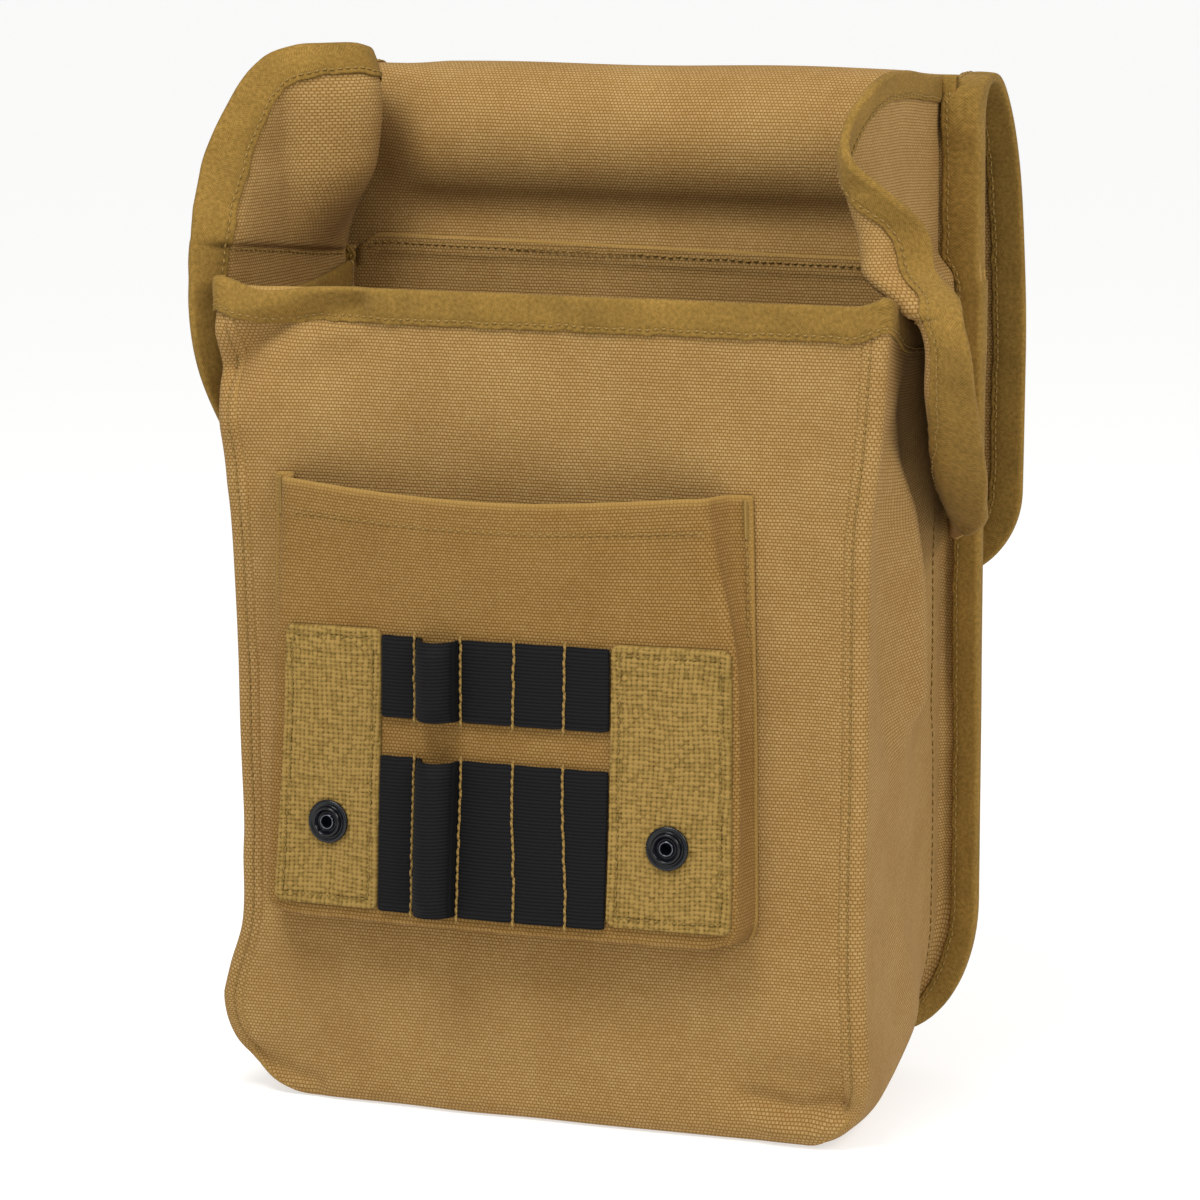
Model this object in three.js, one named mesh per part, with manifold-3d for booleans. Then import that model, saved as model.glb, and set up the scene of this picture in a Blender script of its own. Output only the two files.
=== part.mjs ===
// A canvas map case standing open: a boxy bag with a bellows pocket on its front, its flap thrown
// back in a roll, and a half-round ear spread at each side. Millimetres, +Z up, the front faces -Y,
// and the origin is the middle of the base, on the surface that the bag stands on.
import * as THREE from "three";
import { mergeVertices } from "three/addons/utils/BufferGeometryUtils.js";
import Module from "manifold-3d";

const { clamp, degToRad, lerp, smoothstep } = THREE.MathUtils;

// Cloth thicknesses, and the room between layers that are sewn together
const CANVAS = 1.4;
const TAPE = 0.9;
const WEBBING = 2.0;
const ELASTIC = 1.2;
const GAP = 0.4;
const LAYER = CANVAS + GAP;
const SLOT = CANVAS / 2 + GAP;

// Body: the front panel's plane, the back seam's plane, the height of the mouth and of the back
const FRONT_Y = -50;
const SEAM_Y = 48;
const HEIGHT = 264;
const BACK_TOP = 268;
const MOUTH_SAG = 6;
const BACK_HALF_WIDTH = 101.5;
const LAP = 7;
const LAP_ROLL = [
  { inset: LAP, back: 0 },
  { inset: 2, back: 0 },
  { inset: 0.5, back: 0.6 },
];
const LAP_STAND = 2.5;
const LAP_STEP = { end: 1, panel: 6 };
const PANEL_INSET = 2.5;
const SEAM_FIN = 12.5;
const FIN_BEND = 2;
const HEEL_LIFT = 4.5;
const HEEL_START = 0.8;
const CORNER_SWELL = 7;

// Half widths of the front edge at each height: drawn in at the waist, spread at mouth and foot
const FRONT_SIDES = [
  { z: 0, left: 111, right: 110 },
  { z: 28, left: 111, right: 110 },
  { z: 42, left: 108, right: 109.5 },
  { z: 58, left: 103.2, right: 108.5 },
  { z: 80, left: 103.2, right: 108 },
  { z: 110, left: 104.5, right: 108 },
  { z: 190, left: 107.5, right: 108 },
  { z: 222, left: 110, right: 111 },
  { z: 264, left: 112, right: 114 },
];
const FRONT_RADIUS = { left: 32, right: 22 };
const BACK_RADIUS = { left: 54, right: 54 };

// Folds and swellings of the front panel: where, how long and wide, turned how far, how far out
const FRONT_FOLDS = [
  { x: 0, z: 36, along: 150, across: 62, tilt: 0, out: 7 },
  { x: -74, z: 245, along: 26, across: 9, tilt: 22, out: -4 },
  { x: -98, z: 222, along: 20, across: 26, tilt: 0, out: 2.5 },
  { x: 86, z: 20, along: 24, across: 9, tilt: -6, out: -3 },
  { x: -90, z: 14, along: 16, across: 9, tilt: 18, out: -2.5 },
  { x: 84, z: 226, along: 12, across: 40, tilt: -10, out: -2 },
];

// Bellows pocket on the front panel
const POCKET_BOTTOM = 66;
const POCKET_TOP = 205;
const POCKET_SAG = 4;
const POCKET_DEPTH = 12.5;
const POCKET_PILLOW = 1.8;
const POCKET_EDGES = [
  { z: POCKET_BOTTOM, faceLeft: -87, faceRight: 70.5, flangeLeft: -92, flangeRight: 76 },
  { z: POCKET_TOP, faceLeft: -79, faceRight: 64.5, flangeLeft: -90, flangeRight: 74 },
];
const POCKET_FLANGE_DROP = 5.5;
const POCKET_STAND = 2.1;

// What is sewn on the pocket: webbing patches, elastic bands and snaps
const PATCHES = {
  patch_left: { left: -84.5, right: -47.6, bottom: 69, top: 159, snap: -65 },
  patch_right: { left: 30.2, right: 68.5, bottom: 70, top: 159, snap: 50 },
};
const ELASTICS = {
  elastic_upper: { bottom: 131.5, top: 157 },
  elastic_lower: { bottom: 69.5, top: 118.5 },
};
const ELASTIC_LEFT = -47.2;
const ELASTIC_RIGHT = 29.8;
const PEN_LOOP = { middle: -27.5, halfWidth: 6.4, rise: 9.4, foot: 1.5, steps: 10 };
const SNAP_Z = 96;
const RIVET_RADIUS = 2.2;
const RIVET_ROOM = 0.4;
const HOLE_LENGTH = 14;
const SNAP_SIDES = 12;
const SNAP_WASHER = { radius: 5, thickness: 0.8 };
const SNAP_PROFILE = [
  { radius: 6.5, height: GAP },
  { radius: 6.8, height: 0.9 },
  { radius: 6.2, height: 1.6 },
  { radius: 4.9, height: 1.5 },
  { radius: 4.5, height: 2.7 },
  { radius: 3.8, height: 3.2 },
  { radius: 2.6, height: 3.2 },
  { radius: 1.9, height: 2.6 },
  { radius: 1.6, height: 1.3 },
  { radius: 0, height: 1.3 },
];

// Outline of a flat ear at each height: its free front edge, and its rear edge above the seam
const EAR_OUTLINE = [
  { z: 183, rear: 0, front: 16 },
  { z: 190, rear: 0, front: 42 },
  { z: 200, rear: 0, front: 62 },
  { z: 214, rear: 0, front: 82 },
  { z: 236, rear: 0, front: 99 },
  { z: 262, rear: 0, front: 104 },
  { z: 289, rear: 0, front: 100 },
  { z: 312, rear: 0, front: 86 },
  { z: 322, rear: 0, front: 77 },
  { z: 331, rear: 7, front: 66 },
  { z: 337, rear: 20, front: 54 },
  { z: 340, rear: 34, front: 44 },
];
const EAR_SEWN_TOP = 309;
const EAR_LOWER_BASE = 104.9;
const EAR_UPPER_BASE = 99.5;
const CREASE = { from: 265, to: 276 };
const EAR_ROWS = [
  183, 187, 193, 201, 211, 223, 236, 249, 262, 275, 287, 298, EAR_SEWN_TOP, 317, 324, 331, 336, 340,
];

// How each ear stands at each height: its lean outward in degrees, its front edge's turn, the place
// along the row where it turns, and how far its upper half bows in. Rise is its height above the
// crease, as a share of the flat cloth's.
const EARS = {
  ear_left: {
    side: -1,
    scale: 0.93,
    rise: 0.97,
    turnOver: 40,
    stance: [
      { z: 180, lean: 6, turn: 3, foldAt: 60, bow: 0 },
      { z: 217, lean: 7, turn: 4, foldAt: 60, bow: 0 },
      { z: 258, lean: 8.5, turn: 4, foldAt: 60, bow: 0 },
      { z: 277, lean: 11, turn: 4, foldAt: 60, bow: 3 },
      { z: 305, lean: 12, turn: 4, foldAt: 60, bow: 13 },
      { z: 324, lean: 13, turn: 4, foldAt: 60, bow: 13 },
      { z: 340, lean: 13, turn: 2, foldAt: 60, bow: 12 },
    ],
  },
  ear_right: {
    side: 1,
    scale: 1,
    rise: 0.92,
    turnOver: 16,
    stance: [
      { z: 180, lean: 6, turn: 20, foldAt: 6, bow: 0 },
      { z: 190, lean: 6, turn: 46, foldAt: 22, bow: 0 },
      { z: 200, lean: 6, turn: 82, foldAt: 42, bow: 0 },
      { z: 214, lean: 6.5, turn: 102, foldAt: 61, bow: 0 },
      { z: 236, lean: 7.5, turn: 105, foldAt: 79, bow: 0 },
      { z: 258, lean: 8.8, turn: 112, foldAt: 83, bow: 0 },
      { z: 272, lean: 2, turn: 130, foldAt: 82, bow: 0 },
      { z: 288, lean: -1, turn: 130, foldAt: 80, bow: 0 },
      { z: 302, lean: -2.5, turn: 100, foldAt: 80, bow: 0 },
      { z: 314, lean: -3, turn: 50, foldAt: 78, bow: 0 },
      { z: 326, lean: -3, turn: 12, foldAt: 70, bow: 0 },
      { z: 340, lean: -3, turn: 0, foldAt: 60, bow: 0 },
    ],
  },
};
const BOW_LENGTH = 60;
const EAR_STEP = 1.2;
const FOLD_BETWEEN = { from: 0.45, to: 0.82 };
const FOLD_SPAN = 0.4;

// Flap seen from the side: where it passes at its bound edges and in its middle, seam to free end
const FLAP_FOLD = [
  { edgeY: 51.6, edgeZ: 257, middleY: 51.6, middleZ: 257 },
  { edgeY: 51.6, edgeZ: 269, middleY: 51.8, middleZ: 269 },
  { edgeY: 51.0, edgeZ: 280, middleY: 54.0, middleZ: 280 },
  { edgeY: 50.4, edgeZ: 291, middleY: 49.0, middleZ: 291 },
  { edgeY: 50.2, edgeZ: 304, middleY: 43.5, middleZ: 303 },
  { edgeY: 51.4, edgeZ: 318, middleY: 48.0, middleZ: 318 },
  { edgeY: 58.5, edgeZ: 327, middleY: 60.0, middleZ: 328.5 },
  { edgeY: 69.0, edgeZ: 326.5, middleY: 73.0, middleZ: 328.5 },
  { edgeY: 79.5, edgeZ: 316, middleY: 83.0, middleZ: 318 },
  { edgeY: 86.5, edgeZ: 298, middleY: 88.5, middleZ: 299 },
  { edgeY: 88.5, edgeZ: 262, middleY: 90.0, middleZ: 262 },
  { edgeY: 88.0, edgeZ: 215, middleY: 89.0, middleZ: 215 },
  { edgeY: 86.0, edgeZ: 161, middleY: 86.0, middleZ: 161 },
];
const FLAP_SEAM_HALF = 113;
const FLAP_END_HALF = 116;
const FLAP_CORNER = 30;
const FLAP_EDGE_FLAT = { from: 78, to: 100 };
const FLAP_WIDENS = { from: 0.35, to: 0.7 };
const ROLL_SHARE = { from: 0.15, to: 0.5 };

// Binding tape: how far it reaches in from an edge, and where the back seam's tape ends
const TAPE_REACH = 10;
const TAPE_ROOM = 0.9;
const MOUTH_ROOM = 0.3;
const MOUTH_SHARES = [0.86, 0.8, 0.5, 0.2, 0.09];
const NOSE_ROOM = 0.8;
const TWIST_ROOM = 1.3;
const SLOT_ROOMS = [0.3, 0.18, 0.06];
const SEAM_REACH_LOW = 7.6;
const SEAM_REACH_HIGH = 11.8;
const SEAM_TAPE_TOP = 313;
const SEAM_TAKES_EAR = { from: 120, to: 150 };
const SEAM_TAKES_FLAP = { from: 226, to: 244 };
const SEAM_WIDENS = { from: 265, to: 282 };
const FLAP_TAPE_START = 319;

// Colours of the materials
const canvasCloth = new THREE.MeshStandardMaterial({ color: 0xb0844a, roughness: 0.95, metalness: 0 });
const twillTape = new THREE.MeshStandardMaterial({ color: 0x9a7c3c, roughness: 0.95, metalness: 0 });
const juteWebbing = new THREE.MeshStandardMaterial({ color: 0xa07c38, roughness: 0.95, metalness: 0 });
const blackElastic = new THREE.MeshStandardMaterial({ color: 0x17171a, roughness: 0.8, metalness: 0 });
const blackEnamel = new THREE.MeshStandardMaterial({ color: 0x0d0e12, roughness: 0.3, metalness: 0.6 });

const wasm = await Module();
wasm.setup();

// Even steps from one value to another, both ends included
function spread(from, to, steps) {
  return Array.from({ length: steps + 1 }, (_, i) => lerp(from, to, i / steps));
}

// A smooth curve through one column of a table, read at a value of its height column
function curveThrough(table, column) {
  const at = table.map((row) => row.z);
  const value = table.map((row) => row[column]);
  const last = at.length - 1;
  const slope = at.map((_, i) => {
    const before = Math.max(i - 1, 0);
    const after = Math.min(i + 1, last);
    return (value[after] - value[before]) / (at[after] - at[before]);
  });
  return (z) => {
    let i = 0;
    while (i < last - 1 && z > at[i + 1]) {
      i += 1;
    }
    const span = at[i + 1] - at[i];
    const t = clamp((z - at[i]) / span, 0, 1);
    const ease = t * t * (3 - 2 * t);
    const start = t * (1 - t) * (1 - t) * span * slope[i];
    const end = t * t * (1 - t) * span * slope[i + 1];
    return lerp(value[i], value[i + 1], ease) + start - end;
  };
}

// Two triangles for the cell a b c d, split along its shorter diagonal, so that cloths that lie
// together bend alike
function cellFaces(points, a, b, c, d) {
  const across = points[a].distanceToSquared(points[c]);
  const other = points[b].distanceToSquared(points[d]);
  return across <= other ? [a, b, c, a, c, d] : [a, b, d, b, c, d];
}

// Faces between the rows of a grid of points
function gridFaces(rows) {
  const width = rows[0].length;
  const points = rows.flat();
  const faces = [];
  for (let r = 0; r + 1 < rows.length; r += 1) {
    for (let c = 0; c + 1 < width; c += 1) {
      const a = r * width + c;
      faces.push(...cellFaces(points, a, a + 1, a + width + 1, a + width));
    }
  }
  return faces;
}

// One open surface from several grids that share their border points
function surfaceOf(grids, extra = { points: [], faces: [] }) {
  const points = [...extra.points];
  const faces = [...extra.faces];
  grids.forEach((rows) => {
    const first = points.length;
    faces.push(...gridFaces(rows).map((i) => i + first));
    points.push(...rows.flat());
  });
  const surface = new THREE.BufferGeometry().setFromPoints(points);
  surface.setIndex(faces);
  return mergeVertices(surface, 1e-3);
}

// A closed cloth of the given thickness, half of it on each side of an open surface
function thicken(surface, thickness) {
  surface.computeVertexNormals();
  const middle = surface.attributes.position;
  const normal = surface.attributes.normal;
  const index = Array.from(surface.index.array);
  const count = middle.count;
  const points = [thickness / 2, -thickness / 2].flatMap((offset) =>
    Array.from({ length: count }, (_, i) =>
      new THREE.Vector3().fromBufferAttribute(normal, i).multiplyScalar(offset)
        .add(new THREE.Vector3().fromBufferAttribute(middle, i))));
  const faces = [...index];
  const used = new Set();
  for (let f = 0; f < index.length; f += 3) {
    const [a, b, c] = index.slice(f, f + 3);
    faces.push(c + count, b + count, a + count);
    [[a, b], [b, c], [c, a]].forEach(([p, q]) => used.add(`${p},${q}`));
  }
  used.forEach((edge) => {
    const [p, q] = edge.split(",").map(Number);
    if (!used.has(`${q},${p}`)) {
      faces.push(q, p, p + count, q, p + count, q + count);
    }
  });
  const solid = new THREE.BufferGeometry().setFromPoints(points);
  solid.setIndex(faces);
  return solid;
}

// Signed volume of a closed geometry, positive when its faces point out
function signedVolume(points, faces) {
  let volume = 0;
  for (let f = 0; f < faces.length; f += 3) {
    const [a, b, c] = [points[faces[f]], points[faces[f + 1]], points[faces[f + 2]]];
    volume += a.dot(new THREE.Vector3().crossVectors(b, c)) / 6;
  }
  return volume;
}

// A closed bar through a list of rings, capped at both ends by the flat section given
function barThrough(rings, section) {
  const count = section.length;
  const points = rings.flat();
  const faces = [];
  for (let r = 0; r + 1 < rings.length; r += 1) {
    for (let c = 0; c < count; c += 1) {
      const a = r * count + c;
      const b = r * count + ((c + 1) % count);
      faces.push(...cellFaces(points, a, b, b + count, a + count));
    }
  }
  const tail = (rings.length - 1) * count;
  const cap = THREE.ShapeUtils.triangulateShape(section, []);
  const turn = THREE.ShapeUtils.isClockWise(section);
  cap.forEach(([a, b, c]) => {
    const [p, q] = turn ? [c, a] : [a, c];
    faces.push(q, b, p, p + tail, b + tail, q + tail);
  });
  if (signedVolume(points, faces) < 0) {
    faces.reverse();
  }
  const bar = new THREE.BufferGeometry().setFromPoints(points);
  bar.setIndex(faces);
  return bar;
}

function toManifold(geometry) {
  const bare = new THREE.BufferGeometry();
  bare.setAttribute("position", geometry.attributes.position);
  bare.setIndex(geometry.index);
  const merged = mergeVertices(bare, 1e-4);
  return new wasm.Manifold(new wasm.Mesh({
    numProp: 3,
    vertProperties: new Float32Array(merged.attributes.position.array),
    triVerts: new Uint32Array(merged.index.array),
  }));
}

function cutAway(geometry, tools) {
  const left = tools.reduce((solid, tool) => solid.subtract(toManifold(tool)), toManifold(geometry));
  const bodies = left.decompose().sort((a, b) => b.volume() - a.volume());
  const mesh = bodies[0].getMesh();
  const result = new THREE.BufferGeometry();
  result.setAttribute("position", new THREE.BufferAttribute(mesh.vertProperties, 3));
  result.setIndex(new THREE.BufferAttribute(mesh.triVerts, 1));
  return result;
}

// Body outline, seen from the front, runs down the left side, along the base and up the right side.
// Station 0 is the left top, 1 to 2 the left corner, 2 to 3 the base, 3 to 4 the right corner.
const OUTLINE_END = 5;
const FRONT_EDGE = {
  left: curveThrough(FRONT_SIDES, "left"),
  right: curveThrough(FRONT_SIDES, "right"),
  radius: FRONT_RADIUS,
};
const BACK_EDGE = {
  left: () => BACK_HALF_WIDTH,
  right: () => BACK_HALF_WIDTH,
  radius: BACK_RADIUS,
};

function outlinePoint(edge, station, top) {
  const hand = station < OUTLINE_END / 2 ? "left" : "right";
  const sign = hand === "left" ? -1 : 1;
  const q = hand === "left" ? station : OUTLINE_END - station;
  const radius = edge.radius[hand];
  const floor = CANVAS / 2;
  if (q < 1) {
    const z = lerp(top, floor + radius, q);
    return new THREE.Vector2(sign * edge[hand](z), z);
  }
  const centre = edge[hand](floor + radius) - radius;
  if (q < 2) {
    const angle = (q - 1) * (Math.PI / 2);
    const x = centre + radius * Math.cos(angle);
    return new THREE.Vector2(sign * x, floor + radius * (1 - Math.sin(angle)));
  }
  return new THREE.Vector2(sign * centre * (OUTLINE_END - 2 * q), floor);
}

function outlineTangent(edge, station, top) {
  const step = 0.004;
  const before = outlinePoint(edge, Math.max(station - step, 0), top);
  const after = outlinePoint(edge, Math.min(station + step, OUTLINE_END), top);
  return after.sub(before).normalize();
}

function outlineNormal(edge, station, top) {
  const tangent = outlineTangent(edge, station, top);
  return new THREE.Vector2(tangent.y, -tangent.x);
}

function insetOutline(edge, station, top, inset) {
  return outlinePoint(edge, station, top).addScaledVector(outlineNormal(edge, station, top), -inset);
}

// Stations down a side, close together under the mouth
const SIDE_STATIONS = [0, 0.025, 0.05, 0.09, 0.14, 0.2, 0.32, 0.5, 0.7, 0.86, 1];

// Middle of the front panel's cloth at a place on the front
function frontY(x, z) {
  const out = FRONT_FOLDS.map((fold) => {
    const turn = degToRad(fold.tilt);
    const dx = x - fold.x;
    const dz = z - fold.z;
    const along = (dx * Math.cos(turn) + dz * Math.sin(turn)) / fold.along;
    const across = (dz * Math.cos(turn) - dx * Math.sin(turn)) / fold.across;
    return fold.out * Math.exp(-along * along - across * across);
  });
  return FRONT_Y - out.reduce((sum, value) => sum + value, 0);
}

function frontPanel() {
  const rows = [...SIDE_STATIONS, ...spread(1, 2, 4).slice(1)].map((station) => {
    const left = insetOutline(FRONT_EDGE, station, HEIGHT, PANEL_INSET);
    const right = insetOutline(FRONT_EDGE, OUTLINE_END - station, HEIGHT, PANEL_INSET);
    return spread(0, 1, 13).map((share) => {
      const place = left.clone().lerp(right, share);
      return new THREE.Vector3(place.x, frontY(place.x, place.y), place.y);
    });
  });
  return thicken(surfaceOf([rows]), CANVAS);
}

// Gusset wall at a station of the outline, a share of the way from the front to the back seam
function wallPoint(station, share) {
  const top = HEIGHT - MOUTH_SAG * Math.sin(Math.PI * clamp(share, 0, 1));
  const front = outlinePoint(FRONT_EDGE, station, top);
  const back = outlinePoint(BACK_EDGE, station, top);
  const frontNormal = outlineNormal(FRONT_EDGE, station, top);
  const backNormal = outlineNormal(BACK_EDGE, station, top);
  const down = lerp(frontNormal.y, backNormal.y, share);
  const rise = HEEL_LIFT * down * down * smoothstep(share, HEEL_START, 1);
  const corner = station < OUTLINE_END / 2 ? station - 1 : OUTLINE_END - 1 - station;
  const round = Math.sin(Math.PI * clamp(corner, 0, 1)) ** 2;
  const swell = CORNER_SWELL * round * Math.sin(Math.PI * share);
  const place = front.clone().lerp(back, share)
    .addScaledVector(frontNormal, swell);
  const y = lerp(frontY(front.x, front.y), SEAM_Y - LAYER, share);
  return new THREE.Vector3(place.x, y, place.y + rise);
}

// A place on the back seam's fin, which stands out at the sides and lies back along the base
function finPoint(station, reach, layer, top) {
  const edge = outlinePoint(BACK_EDGE, station, top);
  const along = outlineTangent(BACK_EDGE, station, top);
  const tangent = new THREE.Vector3(along.x, 0, along.y);
  const sideways = along.y * along.y;
  const fin = new THREE.Vector3(along.y * sideways, 1 - sideways, -along.x * sideways).normalize();
  const stack = new THREE.Vector3().crossVectors(tangent, fin).normalize();
  const rise = HEEL_LIFT * along.x * along.x;
  return new THREE.Vector3(edge.x, SEAM_Y, edge.y + rise)
    .addScaledVector(fin, reach)
    .addScaledVector(stack, layer);
}

const RIGHT_SIDE = SIDE_STATIONS.map((station) => OUTLINE_END - station).reverse();
const AROUND = [
  ...SIDE_STATIONS,
  ...spread(1, 2, 7).slice(1),
  ...spread(2, 3, 3).slice(1),
  ...spread(3, 4, 7).slice(1),
  ...RIGHT_SIDE.slice(1),
];
const WALL_SHARES = [0.03, 0.2, 0.5, 0.8, 0.985];

function gusset() {
  const rows = AROUND.map((station) => {
    const lap = LAP_ROLL.map(({ inset, back }) => {
      const place = insetOutline(FRONT_EDGE, station, HEIGHT, inset);
      return new THREE.Vector3(place.x, frontY(place.x, place.y) - LAP_STAND + back, place.y);
    });
    const wall = WALL_SHARES.map((share) => wallPoint(station, share));
    const fin = [FIN_BEND, SEAM_FIN].map((reach) => finPoint(station, reach, 0, HEIGHT - MOUTH_SAG / 2));
    return [...lap, ...wall, ...fin];
  });
  return thicken(surfaceOf([rows]), CANVAS);
}

function backPanel() {
  const base = AROUND.map((station) => finPoint(station, 0, LAYER, BACK_TOP));
  const tip = AROUND.map((station) => finPoint(station, SEAM_FIN, LAYER, BACK_TOP));
  const contour = base.map((point) => new THREE.Vector2(point.x, point.z));
  const fill = THREE.ShapeUtils.triangulateShape(contour, []).flatMap((corners) => {
    const clockwise = THREE.ShapeUtils.isClockWise(corners.map((i) => contour[i]));
    return clockwise ? corners : [...corners].reverse();
  });
  return thicken(surfaceOf([[base, tip]], { points: base, faces: fill }), CANVAS);
}

// Bellows pocket: a shallow tray, open at the top, sewn down by a flange on three sides
const pocketEdge = {
  faceLeft: curveThrough(POCKET_EDGES, "faceLeft"),
  faceRight: curveThrough(POCKET_EDGES, "faceRight"),
  flangeLeft: curveThrough(POCKET_EDGES, "flangeLeft"),
  flangeRight: curveThrough(POCKET_EDGES, "flangeRight"),
};

function pocketFaceY(x, z) {
  const across = (x - pocketEdge.faceLeft(z)) / (pocketEdge.faceRight(z) - pocketEdge.faceLeft(z));
  const pillow = POCKET_PILLOW * Math.sin(Math.PI * clamp(across, 0, 1));
  return frontY(x, z) - POCKET_STAND - POCKET_DEPTH - pillow;
}

function pocketPoint(column, row) {
  const left = pocketEdge.faceLeft(row.z);
  const right = pocketEdge.faceRight(row.z);
  const flat = {
    flangeLeft: pocketEdge.flangeLeft(row.z),
    footLeft: lerp(left, pocketEdge.flangeLeft(row.z), 0.5),
    footRight: lerp(right, pocketEdge.flangeRight(row.z), 0.5),
    flangeRight: pocketEdge.flangeRight(row.z),
  };
  if (column.on || row.on) {
    const x = column.on ? flat[column.on] : lerp(left, right, column.share);
    return new THREE.Vector3(x, frontY(x, row.z) - POCKET_STAND, row.z);
  }
  const x = lerp(left, right, column.share);
  const sag = row.share === 1 ? POCKET_SAG * Math.sin(Math.PI * column.share) : 0;
  const z = row.z - sag;
  return new THREE.Vector3(x, pocketFaceY(x, z), z);
}

function pocket() {
  const columns = [
    { on: "flangeLeft" },
    { on: "footLeft" },
    ...spread(0, 1, 8).map((share) => ({ share })),
    { on: "footRight" },
    { on: "flangeRight" },
  ];
  const levels = [
    { on: "flange", z: POCKET_BOTTOM - POCKET_FLANGE_DROP },
    { on: "foot", z: POCKET_BOTTOM - POCKET_FLANGE_DROP / 2 },
    ...spread(0, 1, 7).map((share) => ({ share, z: lerp(POCKET_BOTTOM, POCKET_TOP, share) })),
  ];
  const rows = levels.map((row) => columns.map((column) => pocketPoint(column, row)));
  return cutAway(thicken(surfaceOf([rows]), CANVAS), Object.values(PATCHES).map(rivetHole));
}

// Snap stud: a washer inside the pocket, a rivet through cloth and webbing, and a ringed stud outside
function standOnPatch(geometry, patch) {
  const step = 3;
  const x = patch.snap;
  const slopeX = (pocketFaceY(x + step, SNAP_Z) - pocketFaceY(x - step, SNAP_Z)) / (2 * step);
  const slopeZ = (pocketFaceY(x, SNAP_Z + step) - pocketFaceY(x, SNAP_Z - step)) / (2 * step);
  const outward = new THREE.Vector3(slopeX, -1, slopeZ).normalize();
  const foot = new THREE.Vector3(x, pocketFaceY(x, SNAP_Z), SNAP_Z)
    .addScaledVector(outward, CANVAS / 2 + GAP + WEBBING);
  const upright = new THREE.Vector3(0, 1, 0);
  geometry.applyQuaternion(new THREE.Quaternion().setFromUnitVectors(upright, outward));
  geometry.translate(...foot.toArray());
  return geometry;
}

function rivetHole(patch) {
  const radius = RIVET_RADIUS + RIVET_ROOM;
  return standOnPatch(new THREE.CylinderGeometry(radius, radius, HOLE_LENGTH, SNAP_SIDES), patch);
}

function snap(patch) {
  const inside = -(WEBBING + GAP + CANVAS + 2 * GAP);
  const profile = [
    { radius: 0, height: inside - SNAP_WASHER.thickness },
    { radius: SNAP_WASHER.radius, height: inside - SNAP_WASHER.thickness },
    { radius: SNAP_WASHER.radius, height: inside },
    { radius: RIVET_RADIUS, height: inside },
    { radius: RIVET_RADIUS, height: GAP },
    ...SNAP_PROFILE,
  ].map(({ radius, height }) => new THREE.Vector2(radius, height));
  return standOnPatch(mergeVertices(bareLathe(profile), 1e-4), patch);
}

function bareLathe(profile) {
  const lathe = new THREE.LatheGeometry(profile, SNAP_SIDES);
  lathe.deleteAttribute("normal");
  lathe.deleteAttribute("uv");
  return lathe;
}

// Webbing patch lying on the pocket's face
function patchSheet(patch) {
  const lift = CANVAS / 2 + GAP + WEBBING / 2;
  const rows = spread(patch.bottom, patch.top, 6).map((z) =>
    spread(patch.left, patch.right, 4).map((x) => new THREE.Vector3(x, pocketFaceY(x, z) - lift, z)));
  return cutAway(thicken(surfaceOf([rows]), WEBBING), [rivetHole(patch)]);
}

// Elastic band, flat on the pocket but for the loop that is stretched round
function elasticBand({ bottom, top }) {
  const lift = CANVAS / 2 + GAP + ELASTIC / 2;
  const { middle, halfWidth, rise, foot, steps } = PEN_LOOP;
  const loop = spread(0, Math.PI, steps).map((angle) => ({
    x: middle - halfWidth * Math.cos(angle),
    out: rise * Math.sin(angle),
  }));
  const flat = (from, to, cells) => spread(from, to, cells).map((x) => ({ x, out: 0 }));
  const columns = [
    ...flat(ELASTIC_LEFT, middle - halfWidth - foot, 2),
    ...loop,
    ...flat(middle + halfWidth + foot, ELASTIC_RIGHT, 5),
  ];
  const rows = spread(bottom, top, 3).map((z) =>
    columns.map(({ x, out }) => new THREE.Vector3(x, pocketFaceY(x, z) - lift - out, z)));
  return thicken(surfaceOf([rows]), ELASTIC);
}

// Ear: flat rows, each starting at the back seam and turning as it runs forward
const earFront = curveThrough(EAR_OUTLINE, "front");
const earRear = curveThrough(EAR_OUTLINE, "rear");

function earBase(z) {
  return lerp(EAR_LOWER_BASE, EAR_UPPER_BASE, smoothstep(z, CREASE.from, CREASE.to));
}

function earPoint(ear, run, z) {
  const height = z < CREASE.from ? z : lerp(CREASE.from, z, ear.rise);
  const place = new THREE.Vector3(ear.side * earBase(z), SEAM_Y - LAYER, height);
  if (run <= 0) {
    place.x -= ear.side * run;
    return place;
  }
  const foldAt = ear.foldAt(z);
  const lean = ear.lean(z);
  const turn = ear.turn(z);
  const steps = Math.ceil(run / EAR_STEP);
  const step = run / steps;
  for (let i = 0; i < steps; i += 1) {
    const passed = (i + 0.5) * step - foldAt;
    const heading = degToRad(lean + turn * smoothstep(passed, -ear.turnOver / 2, ear.turnOver / 2));
    place.x += ear.side * step * Math.sin(heading);
    place.y -= step * Math.cos(heading);
  }
  place.x -= ear.side * ear.bow(z) * Math.sin(Math.PI * clamp(run / BOW_LENGTH, 0, 1));
  return place;
}

function earShape(name) {
  const ear = EARS[name];
  return {
    ...ear,
    lean: curveThrough(ear.stance, "lean"),
    turn: curveThrough(ear.stance, "turn"),
    foldAt: curveThrough(ear.stance, "foldAt"),
    bow: curveThrough(ear.stance, "bow"),
  };
}

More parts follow.
